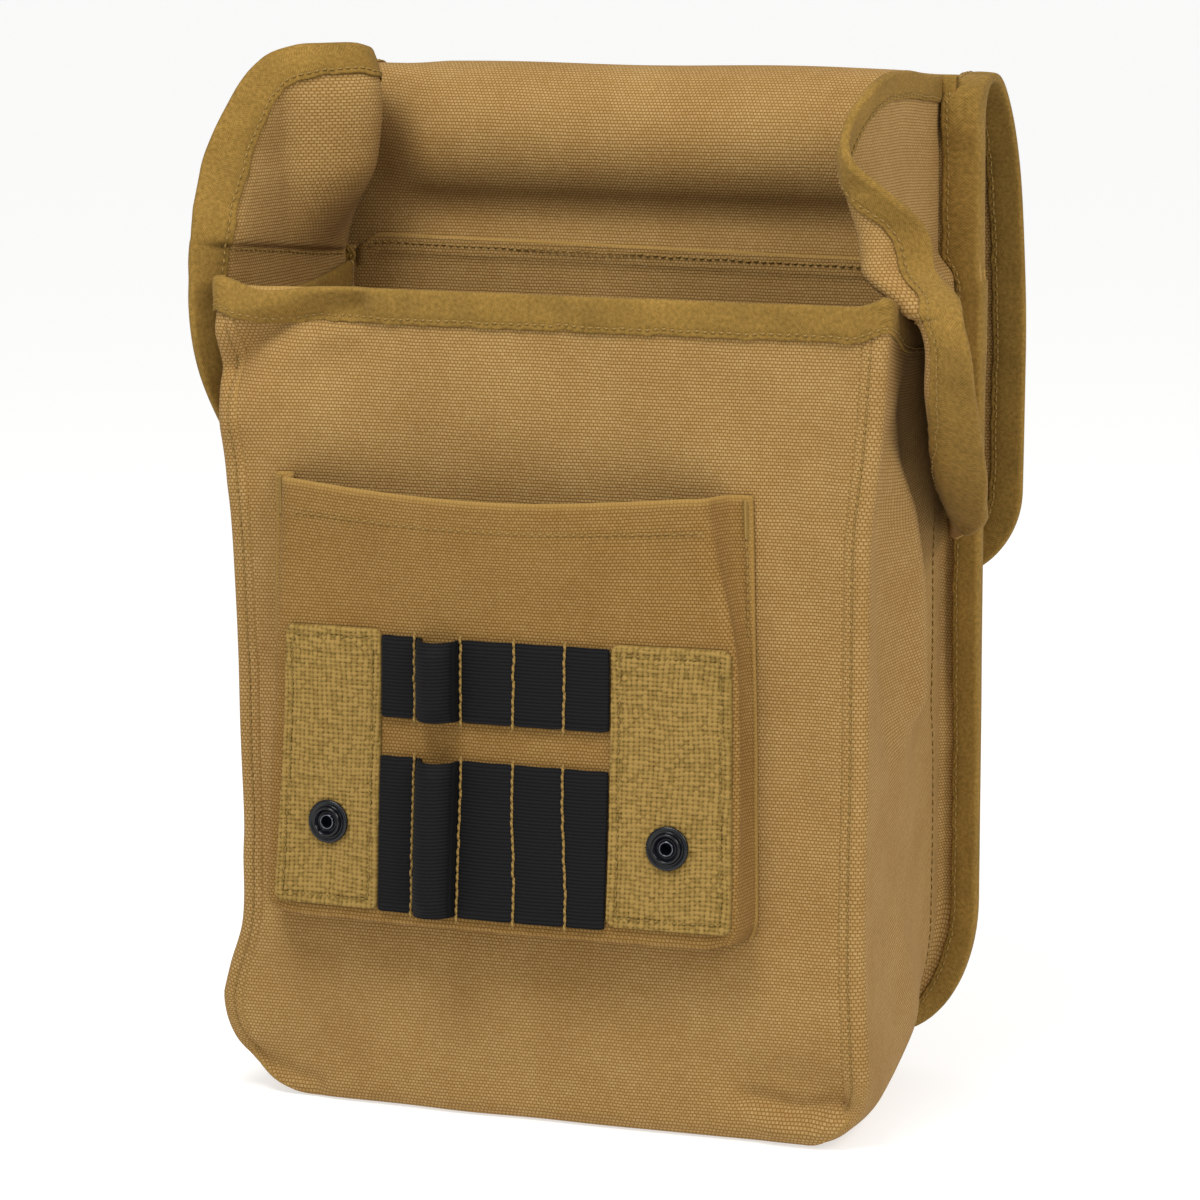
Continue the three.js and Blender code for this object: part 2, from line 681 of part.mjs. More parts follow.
function earSheet(name, thickness) {
  const ear = earShape(name);
  const sewnRows = EAR_ROWS.filter((z) => z <= EAR_SEWN_TOP);
  const row = (z) => {
    const rear = ear.scale * earRear(z);
    const front = ear.scale * earFront(z);
    const least = lerp(rear, front, FOLD_BETWEEN.from);
    const most = lerp(rear, front, FOLD_BETWEEN.to);
    const fold = clamp(ear.foldAt(z), least, most);
    const turned = Math.min(ear.turnOver / 2, (front - fold) * FOLD_SPAN, (fold - rear) * FOLD_SPAN);
    const runs = [
      ...spread(rear, fold - turned, 3),
      ...spread(fold - turned, fold + turned, 4).slice(1),
      ...spread(fold + turned, front, 2).slice(1),
    ];
    return runs.map((run) => earPoint(ear, run, z));
  };
  const margin = (z) => [-(earTip(z) - earBase(z)), 0].map((run) => earPoint(ear, run, z));
  return thicken(surfaceOf([EAR_ROWS.map(row), sewnRows.map(margin)]), thickness);
}

// Outer edge of the cloth in the back seam
function earTip(z) {
  return lerp(BACK_HALF_WIDTH + SEAM_FIN, FLAP_SEAM_HALF, smoothstep(z, CREASE.from, CREASE.to));
}

// Flap: across its width, and along its length from the seam over the roll to the free end
const flapEdge = new THREE.CatmullRomCurve3(
  FLAP_FOLD.map((row) => new THREE.Vector3(0, row.edgeY, row.edgeZ)), false, "centripetal");
const flapMiddle = new THREE.CatmullRomCurve3(
  FLAP_FOLD.map((row) => new THREE.Vector3(0, row.middleY, row.middleZ)), false, "centripetal");
const FLAP_LENGTH = flapEdge.getLength();

function flapPoint(x, along) {
  const share = clamp(along / FLAP_LENGTH, 0, 1);
  const flat = smoothstep(Math.abs(x), FLAP_EDGE_FLAT.from, FLAP_EDGE_FLAT.to);
  const place = flapMiddle.getPointAt(share).lerp(flapEdge.getPointAt(share), flat);
  place.x = x;
  return place;
}

function flapHalfWidth(along) {
  const wide = smoothstep(along / FLAP_LENGTH, FLAP_WIDENS.from, FLAP_WIDENS.to);
  const half = lerp(FLAP_SEAM_HALF, FLAP_END_HALF, wide);
  const left = FLAP_LENGTH - along;
  if (left >= FLAP_CORNER) {
    return half;
  }
  const short = FLAP_CORNER - Math.max(left, 0);
  return half - FLAP_CORNER + Math.sqrt(FLAP_CORNER * FLAP_CORNER - short * short);
}

const ROLL_START = ROLL_SHARE.from * FLAP_LENGTH;
const ROLL_END = ROLL_SHARE.to * FLAP_LENGTH;
const CORNER_START = FLAP_LENGTH - FLAP_CORNER;
const FLAP_ROWS = [
  ...spread(0, ROLL_START, 4),
  ...spread(ROLL_START, ROLL_END, 12).slice(1),
  ...spread(ROLL_END, CORNER_START, 3).slice(1),
  ...spread(0, Math.PI / 2, 5).slice(1).map((angle) => CORNER_START + FLAP_CORNER * Math.sin(angle)),
];

function flapSheet() {
  const rows = FLAP_ROWS.map((along) => {
    const half = flapHalfWidth(along);
    const inner = spread(-half + TAPE_REACH, half - TAPE_REACH, 8);
    return [-half, ...inner, half].map((x) => flapPoint(x, along));
  });
  return thicken(surfaceOf([rows]), CANVAS);
}

// Section of a folded tape: how far in from the cloth's edge, and how high above the cloth's middle
function tapeSection({ inside, outside }) {
  const middle = TAPE_REACH / 2;
  const nose = NOSE_ROOM + TAPE;
  return [
    [TAPE_REACH, outside + TAPE],
    [middle, outside + TAPE],
    [-NOSE_ROOM, outside + TAPE],
    [-nose, outside / 2],
    [-nose, -inside / 2],
    [-NOSE_ROOM, -inside - TAPE],
    [middle, -inside - TAPE],
    [TAPE_REACH, -inside - TAPE],
    [TAPE_REACH, -inside],
    [middle, -inside],
    [-NOSE_ROOM, -inside],
    [-NOSE_ROOM, outside],
    [middle, outside],
    [TAPE_REACH, outside],
  ].map(([reach, height]) => new THREE.Vector2(reach, height));
}

// Normal of a cloth at a flat place, where place gives the point of its middle
function clothNormal(place, at) {
  const step = 0.5;
  const across = place(at.x + step, at.y).sub(place(at.x - step, at.y));
  const along = place(at.x, at.y + step).sub(place(at.x, at.y - step));
  return across.cross(along).normalize();
}

// Tape folded over the edge of one cloth, which is a list of flat places, anticlockwise
function foldedTape(edge, place) {
  const slot = SLOT + TAPE_ROOM;
  const section = tapeSection({ inside: slot, outside: slot });
  const rings = edge.map((at, i) => {
    const before = edge[Math.max(i - 1, 0)];
    const after = edge[Math.min(i + 1, edge.length - 1)];
    const tangent = after.clone().sub(before).normalize();
    const into = new THREE.Vector2(-tangent.y, tangent.x);
    const onCloth = (reach) => at.clone().addScaledVector(into, reach);
    const lip = place(at.x, at.y);
    const inner = onCloth(TAPE_REACH / 2);
    const out = lip.clone().sub(place(inner.x, inner.y)).normalize();
    return section.map(({ x: reach, y: height }) => {
      const flat = onCloth(Math.max(reach, 0));
      return place(flat.x, flat.y)
        .addScaledVector(clothNormal(place, flat), height)
        .addScaledVector(out, Math.max(-reach, 0));
    });
  });
  return barThrough(rings, section);
}

function earBinding(name) {
  const ear = earShape(name);
  const up = EAR_ROWS.slice(1);
  const edge = [
    ...up.map((z) => new THREE.Vector2(ear.scale * earFront(z), z)),
    ...up.slice(-3).reverse().map((z) => new THREE.Vector2(ear.scale * earRear(z), z)),
  ];
  const tape = foldedTape(edge, (run, z) => earPoint(ear, run, z));
  return cutAway(tape, SLOT_ROOMS.map((room) => earSheet(name, CANVAS + 2 * room)));
}

function flapBinding() {
  const first = FLAP_ROWS.findIndex((along) => flapPoint(FLAP_SEAM_HALF, along).z > FLAP_TAPE_START);
  const bound = FLAP_ROWS.slice(first);
  const down = bound.map((along) => new THREE.Vector2(flapHalfWidth(along), along));
  const up = [...down].reverse().map((at) => new THREE.Vector2(-at.x, at.y));
  return foldedTape([...down, ...up], flapPoint);
}

// Tape round the mouth: gusset walls at the sides, panel and lap at the ends of the front
function mouthBinding() {
  const slack = SLOT + MOUTH_ROOM;
  const plainSlot = { inside: slack, outside: slack };
  const lapSlot = { inside: slack + LAP_STAND, outside: slack };
  const outward = { left: new THREE.Vector3(-1, 0, 0), right: new THREE.Vector3(1, 0, 0) };
  const forward = new THREE.Vector3(0, -1, 0);
  const half = { left: FRONT_EDGE.left(HEIGHT), right: FRONT_EDGE.right(HEIGHT) };
  const sign = { left: -1, right: 1 };
  const sideLength = { left: HEIGHT - FRONT_RADIUS.left, right: HEIGHT - FRONT_RADIUS.right };
  const side = (hand) => MOUTH_SHARES.map((share) => ({
    at: (reach) => {
      const station = Math.max(reach, 0) / sideLength[hand];
      const place = wallPoint(hand === "left" ? station : OUTLINE_END - station, share);
      place.z -= Math.min(reach, 0);
      return place;
    },
    legs: [{ normal: outward[hand], slot: plainSlot }],
  }));
  const onFront = (x, stand) => (reach) => {
    const z = HEIGHT - reach;
    return new THREE.Vector3(x, frontY(x, Math.min(z, HEIGHT)) - stand, z);
  };
  const corner = (hand) => ({
    at: (reach) => onFront(sign[hand] * FRONT_EDGE[hand](HEIGHT - Math.max(reach, 0)), LAP_STAND)(reach),
    legs: [{ normal: outward[hand], slot: plainSlot }, { normal: forward, slot: lapSlot }],
  });
  const lap = (x) => ({ at: onFront(x, LAP_STAND), legs: [{ normal: forward, slot: lapSlot }] });
  const panel = (x) => ({ at: onFront(x, 0), legs: [{ normal: forward, slot: plainSlot }] });
  const lapEnd = LAP + LAP_STEP.end;
  const panelStart = LAP + LAP_STEP.panel;
  const frames = [
    ...side("left"),
    corner("left"),
    lap(-half.left + lapEnd),
    ...spread(-half.left + panelStart, half.right - panelStart, 15).map(panel),
    lap(half.right - lapEnd),
    corner("right"),
    ...side("right").reverse(),
  ];
  const rings = frames.map(({ at, legs }) => tapeSection(plainSlot).map(({ x: reach }, i) => {
    const point = at(reach);
    legs.forEach(({ normal, slot }) => point.addScaledVector(normal, tapeSection(slot)[i].y));
    return point;
  }));
  return barThrough(rings, tapeSection(plainSlot));
}

// Tape over the back seam, from the roll of the flap down round the base and up the other side
function seamBinding() {
  const fold = LAYER + SLOT;
  const ring = (edge, fin, stack, reach, ahead, behind) => {
    const nose = NOSE_ROOM + TAPE;
    return [
      [-reach, behind + TAPE],
      [NOSE_ROOM, behind + TAPE],
      [nose, behind / 2],
      [nose, -ahead / 2],
      [NOSE_ROOM, -ahead - TAPE],
      [-reach, -ahead - TAPE],
      [-reach, -ahead],
      [NOSE_ROOM, -ahead],
      [NOSE_ROOM, behind],
      [-reach, behind],
    ].map(([past, height]) => edge.clone().addScaledVector(fin, past).addScaledVector(stack, height));
  };
  const onFin = (station) => {
    const tip = finPoint(station, SEAM_FIN, 0, HEIGHT);
    const fin = finPoint(station, SEAM_FIN + 1, 0, HEIGHT).sub(tip);
    const stack = finPoint(station, SEAM_FIN, 1, HEIGHT).sub(tip);
    const upright = outlineTangent(BACK_EDGE, station, HEIGHT).y ** 2;
    const room = 4 * TWIST_ROOM * upright * (1 - upright);
    const withEar = smoothstep(tip.z, SEAM_TAKES_EAR.from, SEAM_TAKES_EAR.to);
    const withFlap = smoothstep(tip.z, SEAM_TAKES_FLAP.from, SEAM_TAKES_FLAP.to);
    const ahead = room + lerp(SLOT, fold, withEar);
    const behind = room + lerp(fold, fold + LAYER, withFlap);
    return ring(tip, fin, stack, SEAM_REACH_LOW, ahead, behind);
  };
  const onFlap = (sign, z) => {
    const tip = new THREE.Vector3(sign * earTip(z), SEAM_Y, z);
    const fin = new THREE.Vector3(sign, 0, 0);
    const wide = smoothstep(z, SEAM_WIDENS.from, SEAM_WIDENS.to);
    const reach = lerp(SEAM_REACH_LOW, SEAM_REACH_HIGH, wide);
    return ring(tip, fin, new THREE.Vector3(0, 1, 0), reach, fold, fold + LAYER);
  };
  const upper = spread(HEIGHT, SEAM_TAPE_TOP, 5).slice(1);
  const rings = [
    ...[...upper].reverse().map((z) => onFlap(-1, z)),
    ...AROUND.map(onFin),
    ...upper.map((z) => onFlap(1, z)),
  ];
  const section = ring(new THREE.Vector3(), new THREE.Vector3(1, 0, 0), new THREE.Vector3(0, 1, 0),
    SEAM_REACH_LOW, fold, fold).map((point) => new THREE.Vector2(point.x, point.y));
  return barThrough(rings, section);
}

// The bag, one named mesh for each piece
const bag = new THREE.Group();

function addPiece(name, geometry, material) {
  const mesh = new THREE.Mesh(geometry, material);
  mesh.name = name;
  bag.add(mesh);
}

addPiece("front_panel", frontPanel(), canvasCloth);
addPiece("gusset", gusset(), canvasCloth);
addPiece("back_panel", backPanel(), canvasCloth);
addPiece("pocket", pocket(), canvasCloth);
addPiece("flap", flapSheet(), canvasCloth);
addPiece("top_binding", mouthBinding(), twillTape);
addPiece("back_seam_binding", seamBinding(), twillTape);
addPiece("flap_binding", flapBinding(), twillTape);
Object.keys(EARS).forEach((name) => {
  addPiece(name, earSheet(name, CANVAS), canvasCloth);
  addPiece(`${name}_binding`, earBinding(name), twillTape);
});
Object.entries(PATCHES).forEach(([name, patch]) => {
  addPiece(name, patchSheet(patch), juteWebbing);
  addPiece(name.replace("patch", "snap"), snap(patch), blackEnamel);
});
Object.entries(ELASTICS).forEach(([name, band]) => addPiece(name, elasticBand(band), blackElastic));

export default bag;
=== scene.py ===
# Canvas map case standing open: the cloth, tape, webbing, elastic, studs and stitching that dress the
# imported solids. Shapes are worked out in millimetres in the part's own frame, +Z up, front to -Y.
import math

import bpy
import numpy as np
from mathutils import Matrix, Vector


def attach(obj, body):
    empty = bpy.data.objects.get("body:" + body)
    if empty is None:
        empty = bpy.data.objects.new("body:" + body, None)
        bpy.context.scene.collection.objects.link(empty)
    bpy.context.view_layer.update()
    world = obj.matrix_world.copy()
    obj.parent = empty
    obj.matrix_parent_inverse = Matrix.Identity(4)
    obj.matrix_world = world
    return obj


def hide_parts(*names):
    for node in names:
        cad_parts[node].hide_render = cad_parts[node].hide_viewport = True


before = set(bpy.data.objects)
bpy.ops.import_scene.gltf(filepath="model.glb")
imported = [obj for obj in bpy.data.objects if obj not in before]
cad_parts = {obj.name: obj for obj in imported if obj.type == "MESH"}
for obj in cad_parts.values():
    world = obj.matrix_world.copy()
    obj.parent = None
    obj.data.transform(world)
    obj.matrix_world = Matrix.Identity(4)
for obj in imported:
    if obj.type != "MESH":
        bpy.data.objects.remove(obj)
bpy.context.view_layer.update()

MM = 0.001

# Cloth thicknesses, and the room left between layers that are sewn together
CANVAS = 1.4
TAPE = 0.8
WEBBING = 2.0
ELASTIC = 1.2
GAP = 0.4
LAYER = CANVAS + GAP
HUG = CANVAS / 2 + 0.12

# Body
FRONT_Y = -50.0
SEAM_Y = 48.0
HEIGHT = 264.0
BACK_TOP = 268.0
BACK_HEM = 0.35
BACK_TOP_LIFT = (5.0, 1.5)
MOUTH_SAG = 6.0
MOUTH_SAG_RIGHT = 8.0
MOUTH_BULGE_RIGHT = 3.5
BACK_HALF_WIDTH = 101.5
FLOOR = CANVAS / 2
LAP = 7.0
LAP_BASE = 3.2
LAP_STAND = 0.5
LAP_SINK = 0.45
LAP_LAYER = 2.0
LAP_UNDER = 3.2
LAP_TURN = 2.6
PANEL_INSET = 2.5
BASE_CURL = 5.0
SEAM_FIN = 12.5
BACK_LEFT_SPREAD = 5.0
FIN_BEND = 2.0
HEEL_LIFT = 4.5
HEEL_START = 0.8
CORNER_SWELL = 7.0
OUTLINE_END = 5

# Half widths of the front at these heights, and the radii of the lower corners
FRONT_HEIGHTS = [0, 28, 42, 58, 80, 110, 190, 222, 264]
FRONT_LEFT = [111, 111, 108, 103.2, 103.2, 104.5, 107.5, 110, 112]
FRONT_RIGHT = [110, 110, 109.5, 108.5, 108, 108, 108, 111, 114]
FRONT_RADIUS = {"left": 32, "right": 22}
BACK_RADIUS = {"left": 54, "right": 60}

# Swellings of the front panel: where, how long and wide, turned how far, how far out
FRONT_SWELLS = [
    (0, 36, 150, 62, 0, 7),
    (-74, 245, 26, 9, 22, -4),
    (-98, 222, 20, 26, 0, 2.5),
    (86, 20, 24, 9, -6, -3),
    (-90, 14, 16, 9, 18, -2.5),
    (84, 226, 12, 40, -10, -2),
]

# Pocket
POCKET_BOTTOM = 66.0
POCKET_LOW = POCKET_BOTTOM - 1.2
POCKET_TOP = 205.0
POCKET_SAG = 4.0
POCKET_DEPTH = 12.5
POCKET_PILLOW = 1.8
POCKET_STAND = 1.7
POCKET_GAPE = 3.2
POCKET_FOOT = 71.0
POCKET_CORNER = 8.0
PLEAT = 1.5
POCKET_EASED = 5
POCKET_FACE_LEFT = (-87, -79)
POCKET_FACE_RIGHT = (71.5, 66)
POCKET_PULLED_IN = 11.0
POCKET_FLANGE_LEFT = (-92, -90)
POCKET_FLANGE_RIGHT = (74.5, 70.5)
HEM = 10.0

PATCHES = {
    "patch_left": {
        "left": -84.5, "right": -47.6, "bottom": 69, "top": 159, "snap": -65, "lean": 3.6, "foot": 0,
    },
    "patch_right": {
        "left": 30.2, "right": 69.3, "bottom": 70, "top": 159, "snap": 50, "lean": 0, "foot": 1.8,
    },
}
ELASTICS = {"elastic_upper": (131.5, 157.0), "elastic_lower": (69.5, 118.5)}
ELASTIC_LEFT = -47.2
ELASTIC_RIGHT = 29.8
ELASTIC_ROWS = [-35.6, -19.8, -2.0, 15.0]
PEN_LOOP = {"middle": -27.5, "half": 6.4, "rise": 9.4}
SNAP_Z = 96.0
STUD_PRESSES = 5.0
WEBBING_HEM = 9.0
WEBBING_YARN = (1.65, 1.45)
WEBBING_GRID = 0.36
PATCH_CORNER = 3.0
PATCH_EDGE = 1.1
PATCH_SEAM = 0.9
PATCH_SEWN_IN = 3.2
PATCH_LIFT = CANVAS / 2 + 0.1
ELASTIC_LIFT = CANVAS / 2 + 0.15
ELASTIC_RIB = 1.1
ELASTIC_SLACK = 1.1
ELASTIC_SLIDES = 2.0

# Ears
EAR_HEIGHTS = [183, 190, 200, 214, 236, 262, 289, 312, 322, 331, 337, 340]
EAR_FRONT = [16, 42, 62, 82, 99, 104, 100, 86, 77, 66, 54, 44]
EAR_TAPE_LOW = 187
EAR_SHOULDER = 331
EAR_TOP = 340
EAR_SEWN_TOP = {"ear_left": 309.0, "ear_right": 340.0}
FLARE_WIDTH = 20.0
CREASE = (265.0, 276.0)
EAR_LIP_EDGE = 1.6
EAR_LIP_FADE = 20.0
EAR_MARGIN_TOP = 326.0
BOW_LENGTH = 54.0
# Each ear: its hand and size, its foot in the back seam, its crease and lip, and then at each height how its
# cloth leans in degrees, how far it turns, where and over what length, how far it bows in, how far its edge
# flares, and where its rear edge starts
EARS = {
    "ear_left": {
        "side": -1, "scale": 0.93, "rise": 0.97, "rise_rear": 0.97,
        "base": (109.5, 101.0), "crease": (268, 300), "lip": (269, 0.105, 1.7), "top_run": 0,
        "heights": [180, 205, 217, 245, 258, 268, 277, 284, 290, 305, 324, 340],
        "lean": [6, 4, 2.75, 2.25, 2, 1.5, 2.25, 4, 5.75, 8.75, 8.5, 10.5],
        "turn": [3, 4, 4, 4, 4, 4, 4, 4, 4, 4, 4, 2],
        "fold_at": [60, 60, 60, 60, 60, 60, 60, 60, 60, 60, 60, 60],
        "turn_over": [40, 40, 40, 40, 40, 40, 40, 40, 40, 40, 40, 40],
        "bow": [0, 0, 0, 0, 0, 1, 5, 9, 12.5, 18, 19, 14],
        "flare": [10, 15, 18, 23, 26, 31, 36, 37, 38, 40, 36, 20],
        "rear": [0, 0, 0, 0, 0, 0, 0, 0, 0, 7, 20, 34],
        "tape": 12.5,
    },
    "ear_right": {
        "side": 1, "scale": 1.0, "rise": 0.9, "rise_rear": 0.86,
        "base": (104.9, 99.5), "crease": (265, 276), "lip": (263, 0, 2.2), "top_run": -6,
        "heights": [180, 190, 200, 214, 236, 258, 272, 288, 302, 314, 326, 340],
        "lean": [20, 19, 15, 13, 11.5, 11, 2, -1.5, -4.5, -6, -5.5, -4],
        "turn": [16, 30, 62, 95, 94, 72, 130, 130, 100, 50, 12, 0],
        "fold_at": [6, 28, 48.5, 68.5, 85.5, 90.5, 84, 80, 80, 78, 70, 60],
        "turn_over": [10, 10, 10, 10, 10, 10, 16, 16, 16, 16, 16, 16],
        "bow": [0, 0, 0, 0, 0, 0, 0, 0, 0, 0, 0, 0],
        "flare": [0, 0, 0, 0, 0, 0, 0, 0, 0, 0, 0, 0],
        "rear": [0, 0, 0, 0, 0, 0, 0, 0, 0, 0, 0, 0],
        "tape": 11.5,
    },
}

# Flap seen from the side, seam to free end: y and z at its bound edges and in its middle
FLAP_EDGE = [
    (51.6, 257), (51.6, 269), (51, 280), (50.6, 291), (50.4, 304), (50.6, 319.5), (55.5, 328),
    (67, 328), (79, 316.5), (86.5, 298), (88.5, 262), (88, 215), (86, 161),
]
FLAP_MIDDLE = [
    (51.6, 257), (51.8, 269), (53.8, 279.5), (52, 286), (48, 291.5), (45, 299), (44.8, 308), (49, 318.5),
    (59.5, 328.5), (73, 328.5), (83, 318), (88.5, 299), (90, 262), (89, 215), (86, 161),
]
FLAP_SEAM_HALF = 113.0
FLAP_END_HALF = 116.0
FLAP_CORNER = 30.0
FLAP_EDGE_FLAT = (78, 100)
FLAP_WIDENS = (0.35, 0.7)

# Binding tape
TAPE_REACH = 10.0
NOSE = 0.35
SEAM_REACH_LOW = 7.6
SEAM_REACH_HIGH = 11.8
SEAM_TAPE_TOP = 319.0
SEAM_TAPE_PAST = 13.0
SEAM_EASE = 0.2
SEAM_EAR_JOINS = (120, 150)
SEAM_FLAP_JOINS = (226, 244)
SEAM_WIDENS = (265, 272)
SEAM_BESIDE_EAR = 0.6
RIGHT_EAR_STANDS = 2.2
RIGHT_EAR_STANDS_FROM = (306, 314)

# The mouth's edge: where its tape starts and ends on the walls, as shares of their depth, the step along
# it, how far the front corners pull it up, and the dip beside the left one
MOUTH_WALL = (0.06, 0.955)
MOUTH_STEP = 1.6
MOUTH_PULL = {"left": 2.2, "right": 3.0}
MOUTH_DIP = {"x": -92, "wide": 10, "deep": 1.6}

# Sewing: length of a stitch, how far stitches stray from their line, and the thread
PITCH = 2.7
LONG_PITCH = 2.8
STRAY = 0.1
THREAD = 0.62


def smoothstep(value, low, high):
    t = np.clip((value - low) / (high - low), 0, 1)
    return t * t * (3 - 2 * t)


def mix(a, b, share):
    return a + (b - a) * share


def evenly(low, high, size):
    return np.linspace(low, high, max(int(round(abs(high - low) / size)), 1) + 1)


def unit(v):
    return v / np.maximum(np.linalg.norm(v, axis=-1, keepdims=True), 1e-9)


def distance_along(line):
    """How far along a line each of its points lies."""
    return np.concatenate([[0], np.cumsum(np.linalg.norm(np.diff(line, axis=0), axis=-1))])


def curve_through(heights, values):
    """A smooth curve through a table of values, read at any height."""
    at = np.array(heights, float)
    value = np.array(values, float)
    index = np.arange(len(at))
    before, after = np.maximum(index - 1, 0), np.minimum(index + 1, len(at) - 1)
    slope = (value[after] - value[before]) / (at[after] - at[before])

    def read(z):
        i = np.clip(np.searchsorted(at, z) - 1, 0, len(at) - 2)
        span = at[i + 1] - at[i]
        t = np.clip((z - at[i]) / span, 0, 1)
        swing = span * (t * (1 - t) ** 2 * slope[i] - t * t * (1 - t) * slope[i + 1])
        return mix(value[i], value[i + 1], t * t * (3 - 2 * t)) + swing

    return read


def unevenness(u, v, seed, size, height):
    """The slow rise and fall of slack cloth, with hollows about size apart."""
    rng = np.random.default_rng(seed)
    total = 0
    for _ in range(7):
        angle = rng.uniform(0, math.tau)
        length = size * rng.uniform(0.7, 1.7)
        phase = rng.uniform(0, math.tau)
        total = total + np.sin((u * math.cos(angle) + v * math.sin(angle)) * math.tau / length + phase)
    return height * total / 7 ** 0.5


def crease(u, v, line, width, out):
    """A ridge or hollow that follows a line across the cloth and fades at its ends."""
    nearest = np.full(np.shape(u), 1e9)
    for (u0, v0), (u1, v1) in zip(line, line[1:]):
        du, dv = u1 - u0, v1 - v0
        t = np.clip(((u - u0) * du + (v - v0) * dv) / (du * du + dv * dv), 0, 1)
        nearest = np.minimum(nearest, np.hypot(u - u0 - t * du, v - v0 - t * dv))
    return out * np.exp(-((nearest / width) ** 2))


# Meshes

def grid_faces(rows, columns):
    a = np.arange(rows * columns).reshape(rows, columns)
    return np.stack([a[:-1, :-1], a[:-1, 1:], a[1:, 1:], a[1:, :-1]], -1).reshape(-1, 4)


def grid_normals(place):
    across = np.gradient(place, axis=1)
    along = np.gradient(place, axis=0)
    return unit(np.cross(across, along))


def flat_of(place):
    """Flat millimetres across and along a grid of points, for the weave to follow."""
    across = np.linalg.norm(np.diff(place, axis=1), axis=-1)
    along = np.linalg.norm(np.diff(place, axis=0), axis=-1).mean(1)
    u = np.concatenate([np.zeros((len(place), 1)), np.cumsum(across, 1)], 1)
    v = np.concatenate([[0], np.cumsum(along)])
    return np.stack([u, v[:, None] + 0 * u], -1)


def rounded_off(x, z, core_x, core_z):
    """Square corners drawn in to round ones about a core, and how far out each place was."""
    away = np.hypot(x - core_x, z - core_z)
    square = np.maximum(np.abs(x - core_x), np.abs(z - core_z))
    pull = np.where(away > 1e-6, square / np.maximum(away, 1e-6), 1)
    return core_x + (x - core_x) * pull, core_z + (z - core_z) * pull, square


def add_piece(name, points, faces, corner_flat, material, node=None, painted_light_and_wear=None):
    mesh = bpy.data.meshes.new(name)
    mesh.from_pydata((points * MM).tolist(), [], [list(map(int, f)) for f in faces])
    mesh.uv_layers.new(name="cloth_mm")
    mesh.uv_layers["cloth_mm"].data.foreach_set("uv", np.asarray(corner_flat, np.float32).ravel())
    if painted_light_and_wear is not None:
        mesh.attributes.new("painted_light_and_wear", "FLOAT", "POINT").data.foreach_set("value", painted_light_and_wear.astype(np.float32))
    mesh.polygons.foreach_set("use_smooth", np.ones(len(mesh.polygons), bool))
    mesh.materials.append(material)
    mesh.update()
    piece = bpy.data.objects.new(name, mesh)
    bpy.context.scene.collection.objects.link(piece)
    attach(piece, "root")
    if node:
        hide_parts(node)
    return piece


def cloth(name, grids, thickness, material, node):
    """A closed cloth with rounded edges round one or more grids of (points, flat) that share borders."""
    points = np.concatenate([place.reshape(-1, 3) for place, _ in grids])
    flats = np.concatenate([flat.reshape(-1, 2) for _, flat in grids])
    first, faces = 0, []
    for place, _ in grids:
        faces.append(grid_faces(*place.shape[:2]) + first)
        first += place.shape[0] * place.shape[1]
    faces = np.concatenate(faces)
    corner_flat = flats[faces]
    _, kept, welded = np.unique(np.round(points, 3), axis=0, return_index=True, return_inverse=True)
    points, faces = points[kept], welded.reshape(-1)[faces]
    count = len(points)
    facing = np.cross(points[faces[:, 2]] - points[faces[:, 0]], points[faces[:, 3]] - points[faces[:, 1]])
    normal = np.zeros((count, 3))
    for corner in range(4):
        np.add.at(normal, faces[:, corner], facing)
    normal = unit(normal)
    start, end = faces.ravel(), np.roll(faces, -1, 1).ravel()
    open_edge = ~np.isin(end * count + start, start * count + end)
    a, b = start[open_edge], end[open_edge]
    flat_a = corner_flat.reshape(-1, 2)[open_edge]
    flat_b = np.roll(corner_flat, -1, 1).reshape(-1, 2)[open_edge]
    out = np.zeros((count, 3))
    sideways = unit(np.cross(points[b] - points[a], normal[a]))
    np.add.at(out, a, sideways)
    np.add.at(out, b, sideways)
    rim = np.unique(a)
    rim_of = np.full(count, -1)
    rim_of[rim] = 2 * count + np.arange(len(rim))
    solid = np.concatenate([
        points + normal * thickness / 2,
        points - normal * thickness / 2,
        points[rim] + unit(out[rim]) * thickness * 0.45,
    ])
    edge_flat = np.stack([flat_b, flat_a, flat_a, flat_b], 1)
    all_faces = np.concatenate([
        faces,
        faces[:, ::-1] + count,
        np.stack([b, a, rim_of[a], rim_of[b]], 1),
        np.stack([rim_of[b], rim_of[a], a + count, b + count], 1),
    ])
    all_flat = np.concatenate([corner_flat, corner_flat[:, ::-1], edge_flat, edge_flat])
    # The cloth's edges are marked for the canvas to paint shade along them
    painted_light_and_wear = np.zeros(len(solid))
    painted_light_and_wear[rim], painted_light_and_wear[rim + count], painted_light_and_wear[2 * count:] = 0.6, 0.6, 1
    return add_piece(name, solid, all_faces, all_flat, material, node, painted_light_and_wear)


def two_faced(name, upper, lower, flat, painted_light_and_wear, material, node):
    """A closed band or patch between two grids of points."""
    rows, columns = upper.shape[:2]
    count = rows * columns
    faces = grid_faces(rows, columns)
    a = np.arange(count).reshape(rows, columns)
    rim = np.concatenate([a[0, :-1], a[:-1, -1], a[-1, :0:-1], a[:0:-1, 0]])
    following = np.roll(rim, -1)
    sides = np.stack([following, rim, rim + count, following + count], 1)
    all_faces = np.concatenate([faces, faces[:, ::-1] + count, sides])
    points = np.concatenate([upper.reshape(-1, 3), lower.reshape(-1, 3)])
    flats = np.concatenate([flat.reshape(-1, 2)] * 2)[all_faces].reshape(-1, 2)
    reliefs = np.concatenate([painted_light_and_wear.ravel(), np.zeros(count)])
    return add_piece(name, points, all_faces, flats, material, node, reliefs)


